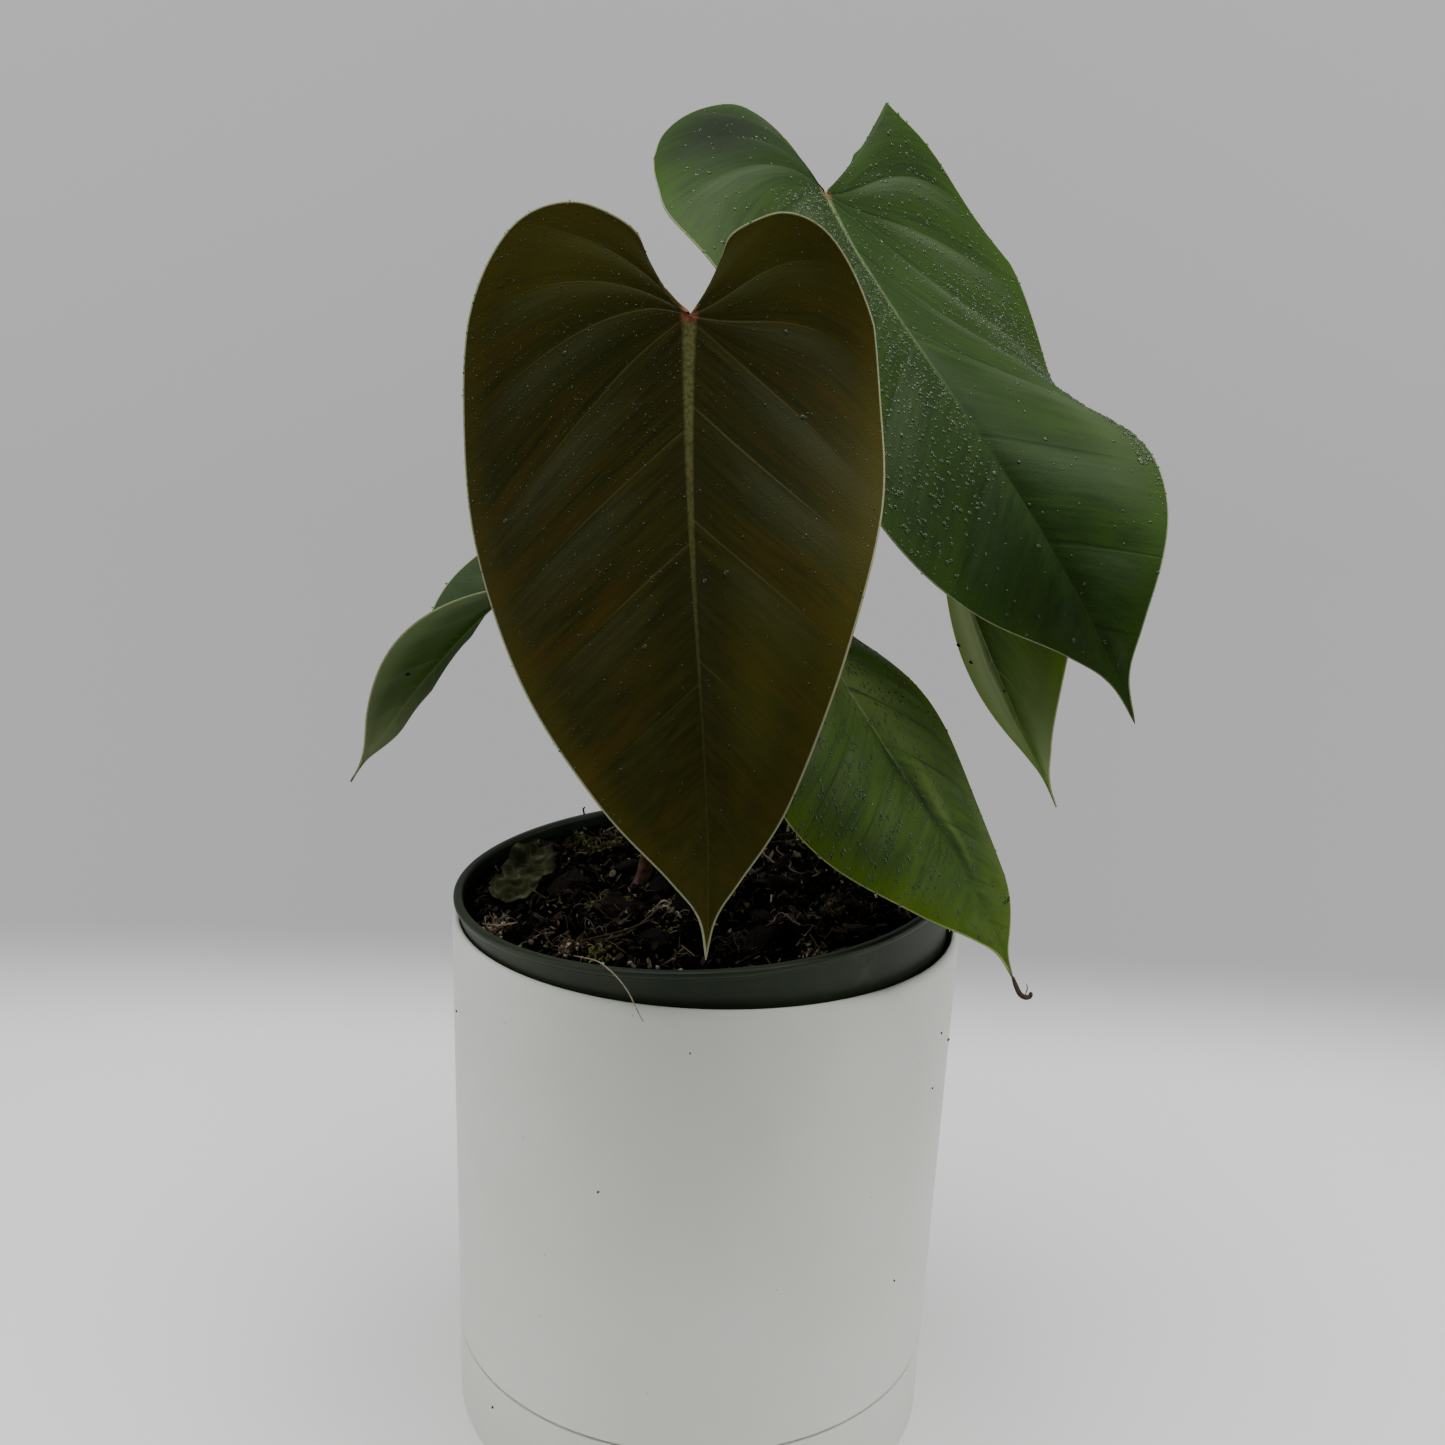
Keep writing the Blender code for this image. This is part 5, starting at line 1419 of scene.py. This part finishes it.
def make_stage():
    """A pale floor, a soft grey surround and three soft lights."""
    size = 1.4
    mesh = bpy.data.meshes.new("floor")
    corners = [(-size, -size, 0), (size, -size, 0), (size, size, 0), (-size, size, 0)]
    mesh.from_pydata(corners, [], [(0, 1, 2, 3)])
    mesh.materials.append(floor_surface())
    floor = new_object("floor", mesh)

    world = bpy.data.worlds.new("studio")
    bpy.context.scene.world = world
    world.use_nodes = True
    tree = world.node_tree
    tree.nodes.clear()
    way_x, way_y, way_z = components(tree, add(tree, "TexCoord", output="Generated"))
    behind = add(tree, "MapRange", {0: way_y, 1: -0.55, 2: 0.25, 3: 0.27, 4: 0.30})
    high = add(tree, "MapRange", {0: way_z, 1: -0.10, 2: 0.24, 3: 0.488, 4: 0.552})
    sideways = add(tree, "Math", {0: way_x}, operation="ABSOLUTE")
    wide = add(tree, "MapRange", {0: sideways, 1: 0.15, 2: 0.45, 3: 0.0, 4: 0.03})
    backdrop = add(tree, "Math", {0: high, 1: wide}, operation="ADD")
    seen = add(tree, "LightPath", output="Is Camera Ray")
    level = add(tree, "Mix", {0: seen, 2: behind, 3: backdrop}, data_type="FLOAT")
    grey = add(tree, "CombineColor", {0: level, 1: level, 2: level})
    light = add(tree, "Background", {"Color": grey, "Strength": 1.0})
    add(tree, "OutputWorld", {"Surface": light})

    for name, place, target, wide, power in (
            ("top_softbox", (0.05, -0.1, 1.3), (0, 0, 0.1), 0.9, 17.0),
            ("left_softbox", (-1.1, -0.15, 0.55), (0, 0, 0.2), 0.8, 4.2),
            ("right_softbox", (1.1, -0.15, 0.55), (0, 0, 0.2), 0.8, 4.2)):
        data = bpy.data.lights.new(name, "AREA")
        data.shape = "SQUARE"
        data.size = wide
        data.energy = power
        away = unit(np.array(place) - np.array(target))
        side = unit(np.cross([0, 0, 1], away) if abs(away[2]) < 0.99 else np.array([1.0, 0, 0]))
        stand(new_object(name, data), side, np.cross(away, side), away, place)


def make_leaves():
    """Every blade with its stalk, the drops on those that carry them, and the blemishes."""
    water = water_surface("sprayed_water", 0.10)
    mist = water_surface("fine_spray", 0.05)
    stalk_skin = stalk_surface()
    grids = {}
    for name, leaf in LEAVES.items():
        upper_look, under_look = LOOKS[name]
        upper = leaf_surface(name + "_leaf_upper_skin", upper_look)
        under = leaf_surface(name + "_leaf_under_skin", under_look)
        grids[name] = make_blade(name, leaf, upper, under)
        route = stalk_route(leaf)
        points, faces, way, angle = swept(route, stalk_radii(len(route)), STALK_SIDES)
        add_piece(name + "_stalk", points, faces, [stalk_skin], name + "_petiole",
                  dict(way=way, angle=angle))

    def upper_density(v, w):
        """Thick on the right half below the lobe and near the left half's margin, thin elsewhere."""
        below_lobe = ease((v - 0.47 - 0.14 * np.abs(w)) * 16)
        beside_rib = (w < 0) * below_lobe * ease((0.76 - v) * 14) * (0.7 + 0.9 * np.exp(-((w / 0.4) ** 2)))
        far_margin = 1.9 * np.exp(-(((w - 0.8) / 0.22) ** 2)) * np.exp(-(((v - 0.575) / 0.06) ** 2))
        ridge = 3.0 * ease((w - 0.84) * 9) * np.exp(-(((v - 0.66) / 0.06) ** 2))
        left_half = 0.25 * (w > 0) * ease((0.66 - v) * 12)
        return 0.05 + beside_rib + far_margin + ridge + left_half

    def front_density(v, w):
        """Thicker on the right half and thinner towards the tip."""
        return np.where(w < 0, 1.0, 0.45) * (0.4 + ease((0.75 - v) * 4))

    def lower_density(v, w):
        """Thicker round the middle, but not on the outer part of the left half."""
        return 0.35 + 1.2 * (w < 0.4) * np.exp(-(((v - 0.63) / 0.12) ** 2))

    # Beads that gather along the upper leaf's folded edge: place along, place across and radius.
    lowest, highest = (0.585, 0.88, 0.6), (0.725, 0.995, 1.25)
    ridge = np.random.default_rng(55).uniform(lowest, highest, (RIDGE_BEADS, 3))
    make_drops("drops_on_upper_leaf", grids["upper"], 4010, upper_density, (0.34, 0.80), water, 51,
               big=((0.725, 0.91, 1.7), *ridge))
    make_drops("drops_on_front_leaf", grids["front"], 1900, front_density, (0.16, 0.36), mist, 52,
               big=((0.495, -0.52, 0.7), (0.46, 0.49, 0.7), (0.57, 0.59, 0.8), (0.703, -0.33, 0.7),
                    (0.675, 0.23, 0.8), (0.688, 0.09, 0.7), (0.59, -0.84, 0.8)))
    make_drops("drops_on_lower_leaf", grids["lower"], 1100, lower_density, (0.20, 0.44), mist, 53,
               stretch=3.4)
    dark = bark_surface("black_scab", ((0.0, "#060504"), (1.0, "#1c150e")))
    dry = bark_surface("dried_leaf_tissue", ((0.0, "#1a130c"), (0.5, "#3c3022"), (1.0, "#6e6248")))
    make_blemishes(grids, dark, dry)
    make_drops("drops_on_left_leaf", grids["left"], 420, lambda v, w: 0.1 + (w < 0), (0.2, 0.5), mist, 54)


def make_stem():
    """The creeping stem, jointed and corky."""
    route = smooth_curve(STEM_ROUTE, STEM_KNOTS)
    points, faces, way, angle = swept(route, stem_radii(STEM_KNOTS), STEM_SIDES)
    add_piece("stem", points, faces, [stem_surface()], "creeping_stem",
              dict(way=way, angle=angle))


def make_soil():
    """The soil with all that lies in and on it, and the bits that stick to the white pot."""
    # The wet peat is darkened to near black, below its own dark brown: painted shade for the gaps between the
    # crumbs.
    peat = bark_surface("wet_peat_with_painted_gap_shade", (
        (0.0, "#010100"), (0.40, "#020201"), (0.65, "#050403"), (0.85, "#0c0906"), (1.0, "#1a140e")),
        gloss=0.03)
    bark = bark_surface("damp_bark", (
        (0.0, "#070504"), (0.35, "#15100b"), (0.55, "#2b221a"), (0.78, "#4b4034"), (1.0, "#7b6f5e")))
    moss = bark_surface("dry_moss", (
        (0.0, "#0f1008"), (0.35, "#282a13"), (0.6, "#484a22"), (0.85, "#6e6e40"), (1.0, "#8c8b60")))
    coir = bark_surface("coir_fibre", (
        (0.0, "#0d0906"), (0.45, "#21170e"), (0.7, "#3a2e20"), (0.88, "#635740"), (1.0, "#8f8468")))
    straw = bark_surface("matted_straw", (
        (0.0, "#15110c"), (0.35, "#30281e"), (0.6, "#574a3a"), (0.85, "#8c806a"), (1.0, "#b8ae98")))
    dead = bark_surface("dead_leaf", (
        (0.0, "#0b0c05"), (0.35, "#1d200e"), (0.6, "#363a1e"), (0.8, "#50523a"), (1.0, "#74735a")))
    make_soil_bed(peat)
    make_bark(bark, moss, straw)
    make_heaps(moss, straw)
    make_fibres(coir)
    make_litter(straw)
    make_dead_leaf(dead)
    make_strays(bark, straw)


main_camera()
make_stage()
make_pots()
make_soil()
make_stem()
make_leaves()
